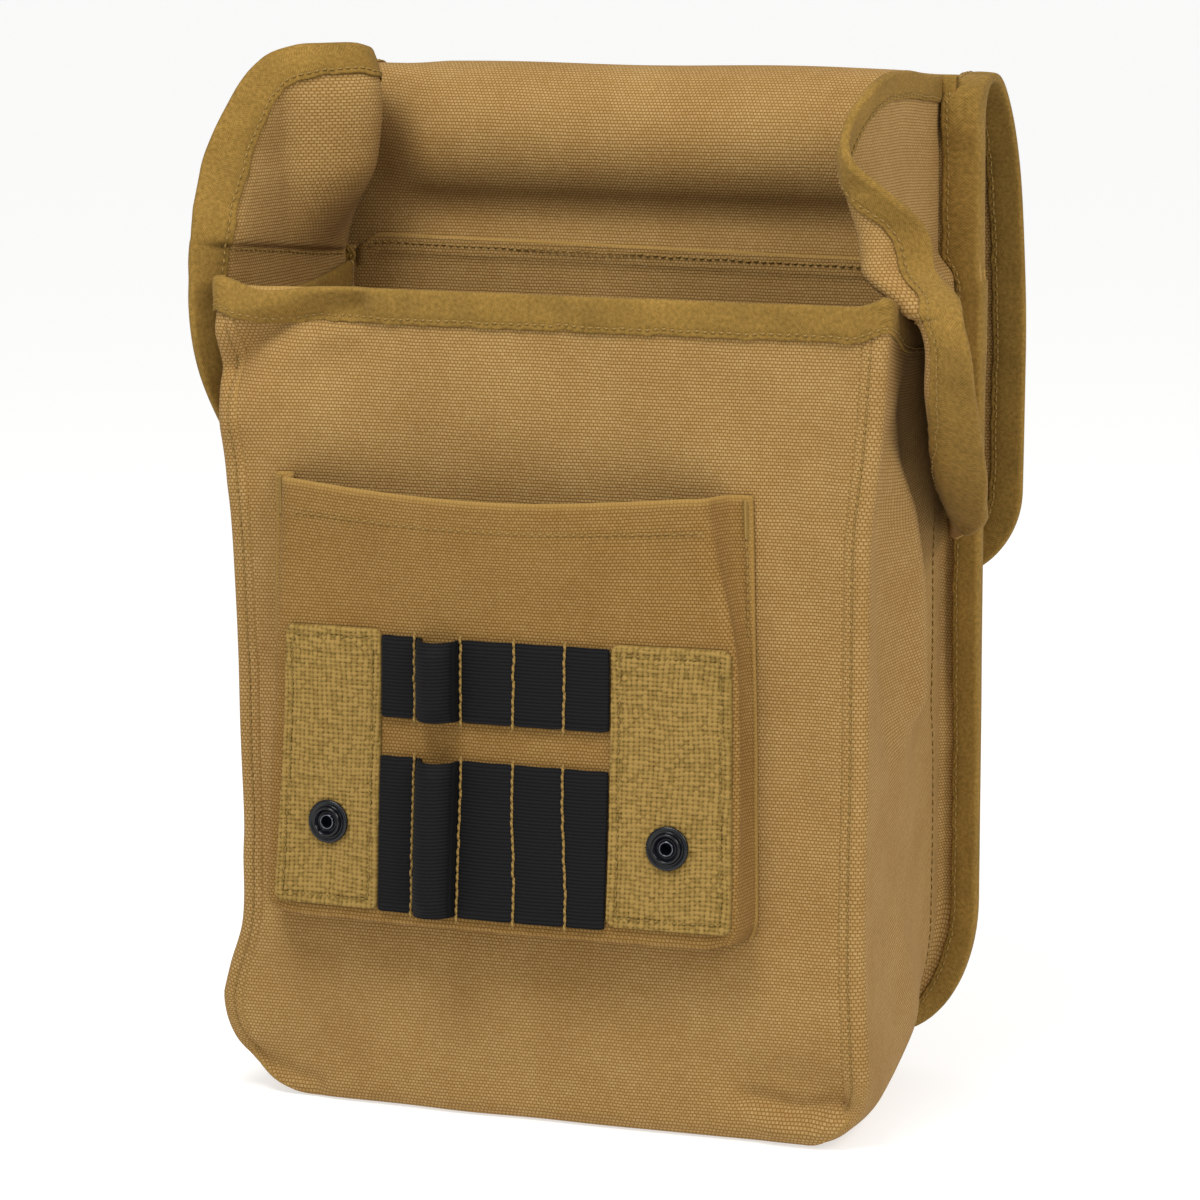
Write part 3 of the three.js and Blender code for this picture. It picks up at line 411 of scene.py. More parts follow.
def bar(name, rings, material, node=None, painted_light_and_wear=None):
    """A closed strip through rings of points, flat-ended."""
    count, around = rings.shape[:2]
    a = np.arange(count * around).reshape(count, around)
    b = np.roll(a, -1, 1)
    faces = np.stack([a[:-1], b[:-1], b[1:], a[1:]], -1).reshape(-1, 4)
    middle = rings.mean(1)
    along = distance_along(middle)
    step = np.linalg.norm(np.roll(rings, -1, 1) - rings, axis=-1).mean(0)
    across = np.concatenate([[0], np.cumsum(step)])
    u0, u1 = across[:-1], across[1:]
    corner_flat = np.empty((count - 1, around, 4, 2))
    corner_flat[..., 0, 0], corner_flat[..., 1, 0] = u0, u1
    corner_flat[..., 2, 0], corner_flat[..., 3, 0] = u1, u0
    corner_flat[..., :2, 1] = along[:-1, None, None]
    corner_flat[..., 2:, 1] = along[1:, None, None]
    points = rings.reshape(-1, 3)
    p, q, r, s = (points[faces[:, i]] for i in range(4))
    volume = (p * (np.cross(q, r) + np.cross(r, s))).sum()
    if volume < 0:
        faces, corner_flat = faces[:, ::-1], corner_flat[..., ::-1, :]
        caps = [a[0].tolist(), a[-1][::-1].tolist()]
    else:
        caps = [a[0][::-1].tolist(), a[-1].tolist()]
    flats = np.concatenate([corner_flat.reshape(-1, 2), np.zeros((2 * around, 2))])
    return add_piece(name, points, faces.tolist() + caps, flats, material, node, painted_light_and_wear)


# Body outline, seen from the front: station 0 is the left top, 1 to 2 the left corner, 2 to 3 the base

def half_outline(edge, hand, q, top):
    side, radius = edge[hand]
    centre = side(FLOOR + radius) - radius
    angle = np.clip(q - 1, 0, 1) * math.pi / 2
    up = mix(top, FLOOR + radius, np.clip(q, 0, 1))
    turned = centre + radius * np.cos(angle)
    x = np.where(q < 1, side(up), np.where(q < 2, turned, centre * (OUTLINE_END - 2 * q)))
    z = np.where(q < 1, up, np.where(q < 2, FLOOR + radius * (1 - np.sin(angle)), FLOOR))
    return x, z


def outline(edge, station, top):
    station = np.asarray(station, float)
    left = station < OUTLINE_END / 2
    lx, lz = half_outline(edge, "left", station, top)
    rx, rz = half_outline(edge, "right", OUTLINE_END - station, top)
    return np.stack([np.where(left, -lx, rx), np.where(left, lz, rz)], -1)


def outline_tangent(edge, station, top):
    step = 0.004
    before = outline(edge, np.maximum(station - step, 0), top)
    after = outline(edge, np.minimum(station + step, OUTLINE_END), top)
    return unit(after - before)


def outline_normal(edge, station, top):
    tangent = outline_tangent(edge, station, top)
    return np.stack([tangent[..., 1], -tangent[..., 0]], -1)


def inset_outline(edge, station, top, inset):
    return outline(edge, station, top) - outline_normal(edge, station, top) * inset


def back_spread(z):
    """The left end of the back seam stands further out towards the mouth."""
    return BACK_LEFT_SPREAD * smoothstep(z, 170, 258)


def at_base(station):
    """0 on the sides of the front's outline, 1 along its base."""
    return outline_normal(FRONT_EDGE, station, HEIGHT)[..., 1] ** 2


def seam_fin(station, top):
    """How far the back seam's fin reaches, so that its tip stays in line."""
    spread = back_spread(outline(BACK_EDGE, station, top)[..., 1])
    return SEAM_FIN - np.where(np.asarray(station) < 1, spread, 0)


FRONT_EDGE = {
    "left": (curve_through(FRONT_HEIGHTS, FRONT_LEFT), FRONT_RADIUS["left"]),
    "right": (curve_through(FRONT_HEIGHTS, FRONT_RIGHT), FRONT_RADIUS["right"]),
}
BACK_EDGE = {
    "left": (lambda z: BACK_HALF_WIDTH + back_spread(z), BACK_RADIUS["left"]),
    "right": (lambda z: BACK_HALF_WIDTH + 0 * z, BACK_RADIUS["right"]),
}
AROUND = np.concatenate([
    evenly(0, 1, 0.011), evenly(1, 2, 0.03)[1:], evenly(2, 3, 0.014)[1:], evenly(3, 4, 0.03)[1:],
    evenly(4, 5, 0.011)[1:],
])

# Creases of the front panel that the solids leave out: a line of (x, z), width, how far out
FRONT_CREASES = [
    ([(-107, 238), (-98, 247), (-84, 255), (-64, 260)], 4.5, -5.5),
    ([(-104, 222), (-88, 240), (-68, 250)], 7, 2.6),
    ([(-110, 250), (-102, 257), (-94, 262)], 4, 2.4),
    ([(-104, 200), (-97, 180), (-98, 150)], 5, 0.9),
    ([(-100, 78), (-96, 58), (-82, 46)], 7, 1.2),
    ([(72, 15), (88, 12), (102, 15)], 3.5, -2.8),
    ([(80, 6), (92, 5), (100, 8)], 4, 2.0),
    ([(-100, 14), (-90, 8), (-78, 6)], 3.5, -2.6),
    ([(82, 200), (90, 160), (86, 110)], 9, -0.8),
    ([(98, 250), (92, 225), (95, 200)], 6, -1.0),
]


def front_y(x, z):
    """Middle of the front panel's cloth at a place on the front."""
    out = 0
    for sx, sz, along, across, tilt, far in FRONT_SWELLS:
        turn = math.radians(tilt)
        a = ((x - sx) * math.cos(turn) + (z - sz) * math.sin(turn)) / along
        b = ((z - sz) * math.cos(turn) - (x - sx) * math.sin(turn)) / across
        out = out + far * np.exp(-a * a - b * b)
    for line, width, far in FRONT_CREASES:
        out = out + crease(x, z, line, width, far)
    return FRONT_Y - out - unevenness(x, z, 3, 46, 0.35)


def front_panel_grid():
    station = np.concatenate([evenly(0, 1, 0.011), evenly(1, 2, 0.04)[1:]])
    base = at_base(station)
    inset = mix(PANEL_INSET, 0.1, base)[:, None]
    left = inset_outline(FRONT_EDGE, station, HEIGHT, inset)
    right = inset_outline(FRONT_EDGE, OUTLINE_END - station, HEIGHT, inset)
    margin = evenly(0, 0.055, 0.0037)
    share = np.concatenate([margin, evenly(0.055, 0.945, 0.0105)[1:-1], 1 - margin[::-1]])
    place = mix(left[:, None], right[:, None], share[None, :, None])
    x, z = place[..., 0], place[..., 1]
    from_edge = PANEL_INSET + np.minimum(x - left[:, None, 0], right[:, None, 0] - x)
    tucked = (LAP_LAYER - LAP_STAND) * (1 - smoothstep(from_edge, LAP - 1.2, LAP + 0.8)) * (1 - base[:, None])
    short = np.clip(BASE_CURL - (z - FLOOR), 0, BASE_CURL)
    curled = BASE_CURL - np.sqrt(BASE_CURL**2 - short**2)
    return np.stack([x, front_y(x, z) + tucked + curled, z], -1), np.stack([x, z], -1)


# Gusset: a lap sewn on the front, a turned corner, the wall, and a fin in the back seam

# Creases of both side walls: a line of (distance behind the front, z), width, how far out
WALL_CREASES = [
    ([(18, 214), (38, 196), (50, 174), (56, 136)], 8, 6.0),
    ([(34, 236), (56, 214), (64, 190)], 10, -4.5),
    ([(14, 216), (22, 176), (32, 132)], 11, -4.6),
    ([(72, 200), (80, 170), (82, 130)], 12, -2.4),
    ([(40, 60), (52, 40), (70, 22)], 10, 1.6),
    ([(66, 120), (74, 80), (80, 50)], 10, -1.2),
]


def wall_point(station, share):
    right = np.asarray(station) > OUTLINE_END / 2
    middle = np.sin(math.pi * np.clip(share, 0, 1))
    top = HEIGHT - np.where(right, MOUTH_SAG_RIGHT, MOUTH_SAG) * middle
    front = outline(FRONT_EDGE, station, top)
    back = outline(BACK_EDGE, station, top)
    front_normal = outline_normal(FRONT_EDGE, station, top)
    back_normal = outline_normal(BACK_EDGE, station, top)
    down = mix(front_normal[..., 1], back_normal[..., 1], share)
    rise = HEEL_LIFT * down * down * smoothstep(share, HEEL_START, 1)
    corner = np.where(station < OUTLINE_END / 2, station - 1, OUTLINE_END - 1 - station)
    swell = CORNER_SWELL * np.sin(math.pi * np.clip(corner, 0, 1)) ** 2 * np.sin(math.pi * share)
    place = mix(front, back, share[..., None]) + front_normal * swell[..., None]
    y = mix(front_y(front[..., 0], front[..., 1]), SEAM_Y - LAYER, share)
    z = np.maximum(place[..., 1], FLOOR) + rise
    x = place[..., 0]
    deep = y - FRONT_Y
    fold = unevenness(y, z, 11, 52, 0.5)
    for line, width, far in WALL_CREASES:
        fold = fold + crease(deep, z, line, width, far)
    held = np.sin(math.pi * np.clip(share, 0, 1)) ** 0.6 * np.abs(front_normal[..., 0])
    x = x + np.sign(x) * fold * held * smoothstep(top - z, 2, 16)
    x = x + np.where(right, MOUTH_BULGE_RIGHT, 0) * middle**2 * smoothstep(z, 215, 256)
    return np.stack([x, y, z], -1)


def fin_point(station, reach, layer, top):
    """A place on the back seam's fin, which stands out at the sides and lies back along the base."""
    edge = outline(BACK_EDGE, station, top)
    along = outline_tangent(BACK_EDGE, station, top)
    zero = np.zeros(np.shape(station))
    tangent = np.stack([along[..., 0], zero, along[..., 1]], -1)
    upright = along[..., 1] ** 2
    fin = unit(np.stack([along[..., 1] * upright, 1 - upright, -along[..., 0] * upright], -1))
    stack = unit(np.cross(tangent, fin))
    rise = HEEL_LIFT * along[..., 0] ** 2
    base = np.stack([edge[..., 0], zero + SEAM_Y, edge[..., 1] + rise], -1)
    return base + fin * np.asarray(reach)[..., None] + stack * np.asarray(layer)[..., None]


def lap_corner(station, top, inset, back):
    """A place on the lapped front edge: inset from the body's outline and set back from the lap.
    On the sides the lap lies on the front panel, and along the base it goes under it."""
    place = inset_outline(FRONT_EDGE, station, top, inset)
    y = front_y(place[..., 0], place[..., 1]) + mix(-LAP_STAND, LAP_UNDER, at_base(station)) + back
    return np.stack([place[..., 0], y, place[..., 1]], -1)


def lap_width(station):
    """The lap is sewn down widest on the sides and narrow along the base."""
    return mix(LAP, LAP_BASE, at_base(station))[..., None]


def gusset_grid():
    flat_lap = lap_width(AROUND) - LAP_TURN
    columns = []
    for share, sunk in ((1, 1), (0.9, 0.55), (0.75, 0.15), (0.5, 0.05), (0.4, 0.9), (0.3, 0.05), (0.12, 0)):
        columns.append(lap_corner(AROUND, HEIGHT, LAP_TURN + flat_lap * share, LAP_SINK * sunk))
    for angle in np.linspace(0, math.pi / 2, 6):
        inset = LAP_TURN * (1 - math.sin(angle))
        columns.append(lap_corner(AROUND, HEIGHT, inset, LAP_TURN * (1 - math.cos(angle))))
    for share in evenly(0.045, 0.985, 0.024):
        columns.append(wall_point(AROUND, np.full(len(AROUND), share)))
    top = HEIGHT - MOUTH_SAG / 2
    for share in np.linspace(0, 1, 6):
        columns.append(fin_point(AROUND, mix(FIN_BEND, seam_fin(AROUND, top), share), 0 * AROUND, top))
    place = np.stack(columns, 1)
    return place, flat_of(place)


def back_lift(share):
    """The back's top edge stands a little higher between its ends, most of all on the left."""
    return mix(*BACK_TOP_LIFT, share) * smoothstep(share, 0, 0.04) * smoothstep(1 - share, 0, 0.04)


def back_panel_grids():
    share = np.linspace(0, 1, 73)
    base = 2 + share
    side = np.concatenate([evenly(0, 0.03, 0.003), evenly(0.03, 1, 0.012)[1:], evenly(1, 2, 0.04)[1:]])
    zero = 0 * side
    left = fin_point(side, zero, zero + LAYER, BACK_TOP)
    right = fin_point(OUTLINE_END - side, zero, zero + LAYER, BACK_TOP)
    inner = mix(left[:, None], right[:, None], share[None, :, None])
    slack = np.sin(math.pi * share)[None] * smoothstep(inner[..., 2], 4, 40)
    inner[..., 1] += unevenness(inner[..., 0], inner[..., 2], 5, 70, 0.8) * slack ** 0.5
    inner[..., 1] -= BACK_HEM * smoothstep(inner[..., 2], BACK_TOP - 6.4, BACK_TOP - 5.2)
    inner[..., 2] += back_lift(share)[None] * smoothstep(inner[..., 2], 225, BACK_TOP)
    around = np.concatenate([side, base[1:-1], OUTLINE_END - side[::-1]])
    fin = np.stack([
        fin_point(around, reach * seam_fin(around, BACK_TOP), 0 * around + LAYER, BACK_TOP)
        for reach in np.linspace(0, 1, 6)
    ], 0)
    flat_inner = np.stack([inner[..., 0], inner[..., 2]], -1)
    return [(inner[::-1], flat_inner[::-1]), (fin[::-1], flat_of(fin)[::-1])]


# Pocket: a shallow tray, open at the top, on a flange that is sewn down on three sides

def pocket_edge(pair):
    def read(z):
        return mix(pair[0], pair[1], np.clip((z - POCKET_BOTTOM) / (POCKET_TOP - POCKET_BOTTOM), 0, 1))
    return read


def face_right(z):
    """The face's right edge, which is pulled in towards the pocket's mouth."""
    return pocket_edge(POCKET_FACE_RIGHT)(z) - POCKET_PULLED_IN * smoothstep(z, 150, POCKET_TOP)


face_left = pocket_edge(POCKET_FACE_LEFT)
flange_left, flange_right = pocket_edge(POCKET_FLANGE_LEFT), pocket_edge(POCKET_FLANGE_RIGHT)


def pocket_pillow(across, z):
    """The face's crown across the pocket, and how far its top gapes."""
    crown = np.sin(math.pi * across)
    return POCKET_PILLOW * crown + POCKET_GAPE * (0.35 + 0.65 * crown) * smoothstep(z, 156, POCKET_TOP)


def pocket_face_y(x, z):
    across = np.clip((x - face_left(z)) / (face_right(z) - face_left(z)), 0, 1)
    return front_y(x, z) - POCKET_STAND - POCKET_DEPTH - pocket_pillow(across, z)


def pocket_grid():
    flat_columns = 4
    wall = np.linspace(0, 1, 14)
    share = np.linspace(0, 1, 71)
    turn = np.sin(wall * math.pi / 2) ** 0.8
    ease = 1 - np.cos(wall * math.pi / 2) ** 1.3
    levels = np.concatenate([
        np.linspace(POCKET_FOOT + 3, POCKET_FOOT, 3),
        mix(POCKET_FOOT, POCKET_LOW, wall)[1:],
        evenly(POCKET_LOW, POCKET_TOP, 2.0)[1:],
    ])
    lift_up = np.concatenate([np.zeros(3), turn[1:], np.ones(len(levels) - 3 - len(wall) + 1)])
    z = levels[:, None]
    left, right = face_left(z), face_right(z)
    foot_left, foot_right = mix(left, flange_left(z), 0.5), mix(right, flange_right(z), 0.55)
    pleat = PLEAT * np.sin(wall * math.pi * 2)[None] * smoothstep(z, 72, 120)
    x = np.concatenate([
        mix(flange_left(z), foot_left, np.linspace(0, 1, flat_columns)[None]),
        (mix(foot_left, left, ease[None]) + pleat)[:, 1:],
        mix(left, right, share[None])[:, 1:-1],
        (mix(foot_right, right, ease[None]) - pleat)[:, :0:-1],
        mix(foot_right, flange_right(z), np.linspace(0, 1, flat_columns)[None]),
    ], 1)
    lift_in = np.concatenate([
        np.zeros(flat_columns), turn[1:], np.ones(len(share) - 2), turn[:0:-1], np.zeros(flat_columns),
    ])
    lift = np.minimum(lift_up[:, None], lift_in[None])
    across = np.clip((x - left) / (right - left), 0, 1)
    up = z + 0 * x
    corner_x = np.clip(x, left + POCKET_CORNER, right - POCKET_CORNER)
    corner_z = np.maximum(up, POCKET_LOW + POCKET_CORNER)
    x, up, _ = rounded_off(x, up, corner_x, corner_z)
    up = up - POCKET_SAG * np.sin(math.pi * across) * smoothstep(z, POCKET_TOP - 45, POCKET_TOP) * lift
    pillow = pocket_pillow(across, z) * smoothstep(lift, 0.9, 1)
    y = front_y(x, up) - POCKET_STAND - POCKET_DEPTH * lift - pillow
    place = np.stack([x, y, up], -1)
    for _ in range(POCKET_EASED):
        inner = place[1:-1, 1:-1]
        around = (place[:-2, 1:-1] + place[2:, 1:-1] + place[1:-1, :-2] + place[1:-1, 2:]) / 4
        place[1:-1, 1:-1] = mix(inner, around, 0.4)
    return place, flat_of(place)


# Ears: rows that start at the back seam and turn as they run forward

ear_front = curve_through(EAR_HEIGHTS, EAR_FRONT)


def ear_base(ear, z):
    return mix(*ear["base"], smoothstep(z, *ear["crease"]))


def ear_tip(z):
    return mix(BACK_HALF_WIDTH + SEAM_FIN, FLAP_SEAM_HALF, smoothstep(z, *CREASE))


def ear_lip_at(ear, run):
    """Height of the crease where the ear's upper half laps over its lower half."""
    start, slope, _ = ear["lip"]
    return start + slope * run


def ear_stance(name):
    ear = dict(EARS[name])
    for part in ("lean", "turn", "fold_at", "turn_over", "bow", "flare"):
        ear[part] = curve_through(ear["heights"], ear[part])
    ear["rear"] = curve_through(EAR_HEIGHTS, ear["rear"])
    return ear


def ear_point(ear, run, z):
    run, z = np.broadcast_arrays(np.asarray(run, float), np.asarray(z, float))
    rise = mix(ear["rise_rear"], ear["rise"], smoothstep(run, 0, 34))
    height = np.where(z < CREASE[0], z, mix(CREASE[0], z, rise))
    forward = np.maximum(run, 0)
    fold_at, lean, turn = ear["fold_at"](z), ear["lean"](z), ear["turn"](z)
    x = ear_base(ear, z) - np.minimum(run, 0)
    y = np.full(z.shape, SEAM_Y - LAYER)
    pieces = 90
    step = forward / pieces
    half = ear["turn_over"](z) / 2
    flare, flare_from = ear["flare"](z), ear["scale"] * ear_front(z) - FLARE_WIDTH
    for i in range(pieces):
        run_here = (i + 0.5) * step
        turned = turn * smoothstep(run_here - fold_at, -half, half)
        flared = flare * smoothstep(run_here - flare_from, 0, FLARE_WIDTH * 0.7)
        heading = np.radians(lean + turned + flared)
        x = x + step * np.sin(heading)
        y = y - step * np.cos(heading)
    x = x - ear["bow"](z) * np.sin(math.pi * np.clip(forward / BOW_LENGTH, 0, 1)) ** 2
    above = z - ear_lip_at(ear, forward)
    lip = ear["lip"][2] * smoothstep(above, -EAR_LIP_EDGE, 0) * (1 - smoothstep(above, 0, EAR_LIP_FADE))
    from_edge = ear["scale"] * ear_front(z) - forward
    lip = lip * smoothstep(forward, 0, 8) * (0.35 + 0.65 * smoothstep(from_edge, 0, 14))
    x = x - lip * np.cos(heading)
    y = y - lip * np.sin(heading)
    loose = smoothstep(forward, 6, 30)
    x = x + loose * unevenness(forward, z, 17 + ear["side"], 44, 0.35)
    return np.stack([ear["side"] * x, y, height], -1)


def ear_grids(name):
    ear = ear_stance(name)
    sewn_top = EAR_SEWN_TOP[name]
    sewn = np.concatenate([
        evenly(EAR_HEIGHTS[0], 260, 2.1), evenly(260, 280, 0.6)[1:], evenly(280, sewn_top, 2.1)[1:],
    ])
    free = np.concatenate([evenly(sewn_top, EAR_SHOULDER, 2.0)[1:], evenly(EAR_SHOULDER, EAR_TOP, 0.9)[1:]])
    rows = np.concatenate([sewn, free] if sewn_top < EAR_TOP else [sewn])[:, None]
    share = np.linspace(0, 1, 57)[None]
    run = ear["scale"] * mix(ear["rear"](rows), ear_front(rows), share)
    body = ear_point(ear, run, rows)
    sewn = sewn[sewn < EAR_MARGIN_TOP][:, None]
    margin_run = -(ear_tip(sewn) - ear_base(ear, sewn)) * np.linspace(1, 0, 6)[None]
    margin = ear_point(ear, margin_run, sewn)
    flip = slice(None, None, -1) if ear["side"] > 0 else slice(None)
    return [
        (body[flip], np.stack([run, rows + 0 * run], -1)[flip]),
        (margin[flip], np.stack([margin_run, sewn + 0 * margin_run], -1)[flip]),
    ]


# Flap

def rolled_profile(table):
    """A curve through the side view's points, walked by its length."""
    points = np.array(table, float)
    points = np.concatenate([[2 * points[0] - points[1]], points, [2 * points[-1] - points[-2]]])
    walked = []
    for p0, p1, p2, p3 in zip(points, points[1:], points[2:], points[3:]):
        d0, d1, d2 = (np.linalg.norm(b - a) ** 0.5 for a, b in ((p0, p1), (p1, p2), (p2, p3)))
        m1 = ((p1 - p0) / d0 - (p2 - p0) / (d0 + d1) + (p2 - p1) / d1) * d1
        m2 = ((p2 - p1) / d1 - (p3 - p1) / (d1 + d2) + (p3 - p2) / d2) * d1
        t = np.linspace(0, 1, 40, endpoint=False)[:, None]
        walked.append((2 * t**3 - 3 * t**2 + 1) * p1 + (t**3 - 2 * t**2 + t) * m1
                      + (3 * t**2 - 2 * t**3) * p2 + (t**3 - t**2) * m2)
    walked = np.concatenate(walked + [points[-2:-1]])
    length = distance_along(walked)

    def read(share):
        at = np.clip(share, 0, 1) * length[-1]
        return np.stack([np.interp(at, length, walked[:, i]) for i in (0, 1)], -1)

    return read, length[-1]


flap_edge, FLAP_LENGTH = rolled_profile(FLAP_EDGE)
flap_middle, _ = rolled_profile(FLAP_MIDDLE)


def flap_point(x, along):
    x, along = np.broadcast_arrays(np.asarray(x, float), np.asarray(along, float))
    share = along / FLAP_LENGTH
    flat = smoothstep(np.abs(x), *FLAP_EDGE_FLAT)[..., None]
    side = mix(flap_middle(share), flap_edge(share), flat)
    slack = (1 - flat[..., 0]) * smoothstep(along, 20, 50)
    y = side[..., 0] + unevenness(x, along, 23, 64, 0.8) * slack
    z = side[..., 1] + unevenness(x, along, 29, 80, 0.5) * slack
    return np.stack([x, y, z], -1)


def flap_half_width(along):
    wide = smoothstep(along / FLAP_LENGTH, *FLAP_WIDENS)
    half = mix(FLAP_SEAM_HALF, FLAP_END_HALF, wide)
    short = np.clip(FLAP_CORNER - (FLAP_LENGTH - along), 0, FLAP_CORNER)
    return half - FLAP_CORNER + np.sqrt(FLAP_CORNER**2 - short**2)


def flap_length_at(z):
    """How far along its edge the flap first rises to a height."""
    along = np.linspace(0, FLAP_LENGTH / 2, 2000)
    return along[np.argmax(flap_edge(along / FLAP_LENGTH)[:, 1] >= z)]


CORNER_START = FLAP_LENGTH - FLAP_CORNER
CORNER_ROWS = CORNER_START + FLAP_CORNER * np.sin(np.linspace(0, math.pi / 2, 22))
FLAP_ROWS = np.concatenate([evenly(0, CORNER_START, 1.8)[:-1], CORNER_ROWS])


def flap_grid():
    along = FLAP_ROWS[:, None]
    x = flap_half_width(along) * np.linspace(-1, 1, 105)[None]
    return flap_point(x, along), np.stack([x, along + 0 * x], -1)


# Folded tape: an outer leg, a rounded nose over the cloth's edge, and an inner leg

NOSE_POINTS = 7
LEG = np.array([1, 0.985, 0.93, 0.87, 0.82, 0.77, 0.7, 0.55, 0.4, 0.25, 0.1])


def tape_round(reach, outside, inside, slack):
    """Reach and height off the cloth's middle of the points round a tape, for each ring.
    Slack lifts the leg between the edge and the stitches."""
    outside, inside, slack = (np.asarray(a, float)[:, None] for a in (outside, inside, slack))
    leg = LEG[None] * np.asarray(reach, float).reshape(-1, 1)
    free_edge = np.array([0.45, 0.85, 1, 0.92, 0.78, 0.92, 1, 1, 1, 1, 1])[None]
    puff = slack * np.array([0.5, 0.4, 0.25, 0.05, 0, 0.15, 0.5, 0.9, 1, 0.8, 0.4])[None]
    outer = outside + TAPE * free_edge + puff
    inner = -inside - TAPE * free_edge - 0.6 * puff
    angle = np.linspace(math.pi / 2, -math.pi / 2, NOSE_POINTS)[None]
    middle, half = (outside - inside) / 2, (outside + inside) / 2 + TAPE
    nose_reach = -(NOSE + TAPE) * np.cos(angle) + 0 * half
    nose_height = middle + half * np.sin(angle)
    back = LEG[[0, 4, 8]][None] * np.asarray(reach, float).reshape(-1, 1)
    zero = np.zeros((len(half), 1))
    reaches = [leg, nose_reach, leg[:, ::-1], back, zero - NOSE, zero - NOSE, back[:, ::-1]]
    ones = np.ones((len(half), 3))
    heights = [outer, nose_height, inner[:, ::-1], -inside * ones, -inside, outside, outside * ones]
    rows = len(half)
    reaches = [np.broadcast_to(r, (rows, r.shape[1])) for r in reaches]
    return np.concatenate(reaches, 1), np.concatenate(heights, 1)


STITCH_OUTER = 4
STITCH_INNER = 2 * len(LEG) + NOSE_POINTS - 1 - STITCH_OUTER


def ripple(along, seed, height):
    rng = np.random.default_rng(seed)
    total = 0
    for length in (6.5, 10, 17, 31):
        wave = length * rng.uniform(0.85, 1.2)
        total = total + np.sin(along * math.tau / wave + rng.uniform(0, math.tau))
    return height * total / 2


def cloth_normal(place, at):
    step = 0.5
    across = place(at[..., 0] + step, at[..., 1]) - place(at[..., 0] - step, at[..., 1])
    along = place(at[..., 0], at[..., 1] + step) - place(at[..., 0], at[..., 1] - step)
    return unit(np.cross(across, along))


def folded_tape(edge, place, seed, tape_reach=TAPE_REACH):
    """Rings of the tape folded over the edge of one cloth, a line of flat places, anticlockwise."""
    tangent = unit(np.gradient(edge, axis=0))
    into = np.stack([-tangent[:, 1], tangent[:, 0]], -1)
    walked = distance_along(edge)
    slack = 0.22 + ripple(walked, seed, 0.2)
    slot = np.full(len(edge), HUG)
    width = tape_reach + ripple(walked, seed + 1, 0.25)
    reach, height = tape_round(width, slot, slot, slack)
    flat = edge[:, None] + into[:, None] * np.maximum(reach, 0)[..., None]
    lip = place(edge[:, 0], edge[:, 1])
    inner = edge + into * TAPE_REACH / 2
    out = unit(lip - place(inner[:, 0], inner[:, 1]))
    normal = cloth_normal(place, flat)
    return (place(flat[..., 0], flat[..., 1]) + normal * height[..., None]
            + out[:, None] * np.maximum(-reach, 0)[..., None])


def respaced(line, size):
    """The same line with points at even steps along it."""
    walked = distance_along(line)
    at = evenly(0, walked[-1], size)
    return np.stack([np.interp(at, walked, line[:, i]) for i in range(line.shape[1])], -1)


def ear_tape(name):
    ear = ear_stance(name)
    up = np.concatenate([evenly(EAR_TAPE_LOW, EAR_SHOULDER, 1.0), evenly(EAR_SHOULDER, EAR_TOP, 0.5)[1:]])
    free_top = EAR_SEWN_TOP[name] < EAR_TOP
    over = evenly(EAR_TOP, EAR_SHOULDER, 0.5) if free_top else np.array([float(EAR_TOP)])
    edge = np.concatenate([
        np.stack([ear["scale"] * ear_front(up), up], -1),
        np.stack([ear["scale"] * ear["rear"](over) + ear["top_run"], over], -1),
    ])
    edge = respaced(edge, 1.3)
    wide = ear["tape"] * (1 - 0.25 * smoothstep(edge[:, 1], 312, 336))
    return folded_tape(edge, lambda run, z: ear_point(ear, run, z), 40 + ear["side"], wide)


def flap_tape():
    bound = FLAP_ROWS[FLAP_ROWS >= flap_length_at(SEAM_TAPE_TOP) + SEAM_TAPE_PAST]
    down = np.stack([flap_half_width(bound), bound], -1)
    edge = respaced(np.concatenate([down, down[::-1] * [-1, 1]]), 1.5)
    return folded_tape(edge, flap_point, 50)


def mouth_path():
    """Stops along the mouth, from the left wall round the front to the right one: the kind of stop, its
    station or x, and its share of the wall or its angle round the corner."""
    half_left, half_right = FRONT_EDGE["left"][0](HEIGHT), FRONT_EDGE["right"][0](HEIGHT)
    places = []
    for share in evenly(*MOUTH_WALL[::-1], 0.016):
        places.append(("wall", 0.0, share))
    for angle in np.linspace(90, 0, 7)[1:-1]:
        places.append(("turn", 0.0, angle))
    for x in evenly(-half_left + LAP_TURN, half_right - LAP_TURN, MOUTH_STEP):
        places.append(("front", x, 0))
    for angle in np.linspace(0, 90, 7)[1:-1]:
        places.append(("turn", OUTLINE_END, angle))
    for share in evenly(*MOUTH_WALL, 0.016):
        places.append(("wall", OUTLINE_END, share))
    return places, half_left, half_right


def mouth_lift(kind, at, extra):
    """The mouth's edge is pulled up at the front corners and dips beside the left one."""
    half_left, half_right = FRONT_EDGE["left"][0](HEIGHT), FRONT_EDGE["right"][0](HEIGHT)
    if kind == "front":
        dip = MOUTH_DIP["deep"] * math.exp(-(((at - MOUTH_DIP["x"]) / MOUTH_DIP["wide"]) ** 2))
        left = MOUTH_PULL["left"] * math.exp(-(((at + half_left) / 8) ** 2))
        right = MOUTH_PULL["right"] * math.exp(-(((half_right - at) / 6) ** 2))
        return left + right - dip
    past = (extra - MOUTH_WALL[0]) * (SEAM_Y - FRONT_Y) if kind == "wall" else 0
    return MOUTH_PULL["left" if at == 0 else "right"] * math.exp(-((past / 9) ** 2))


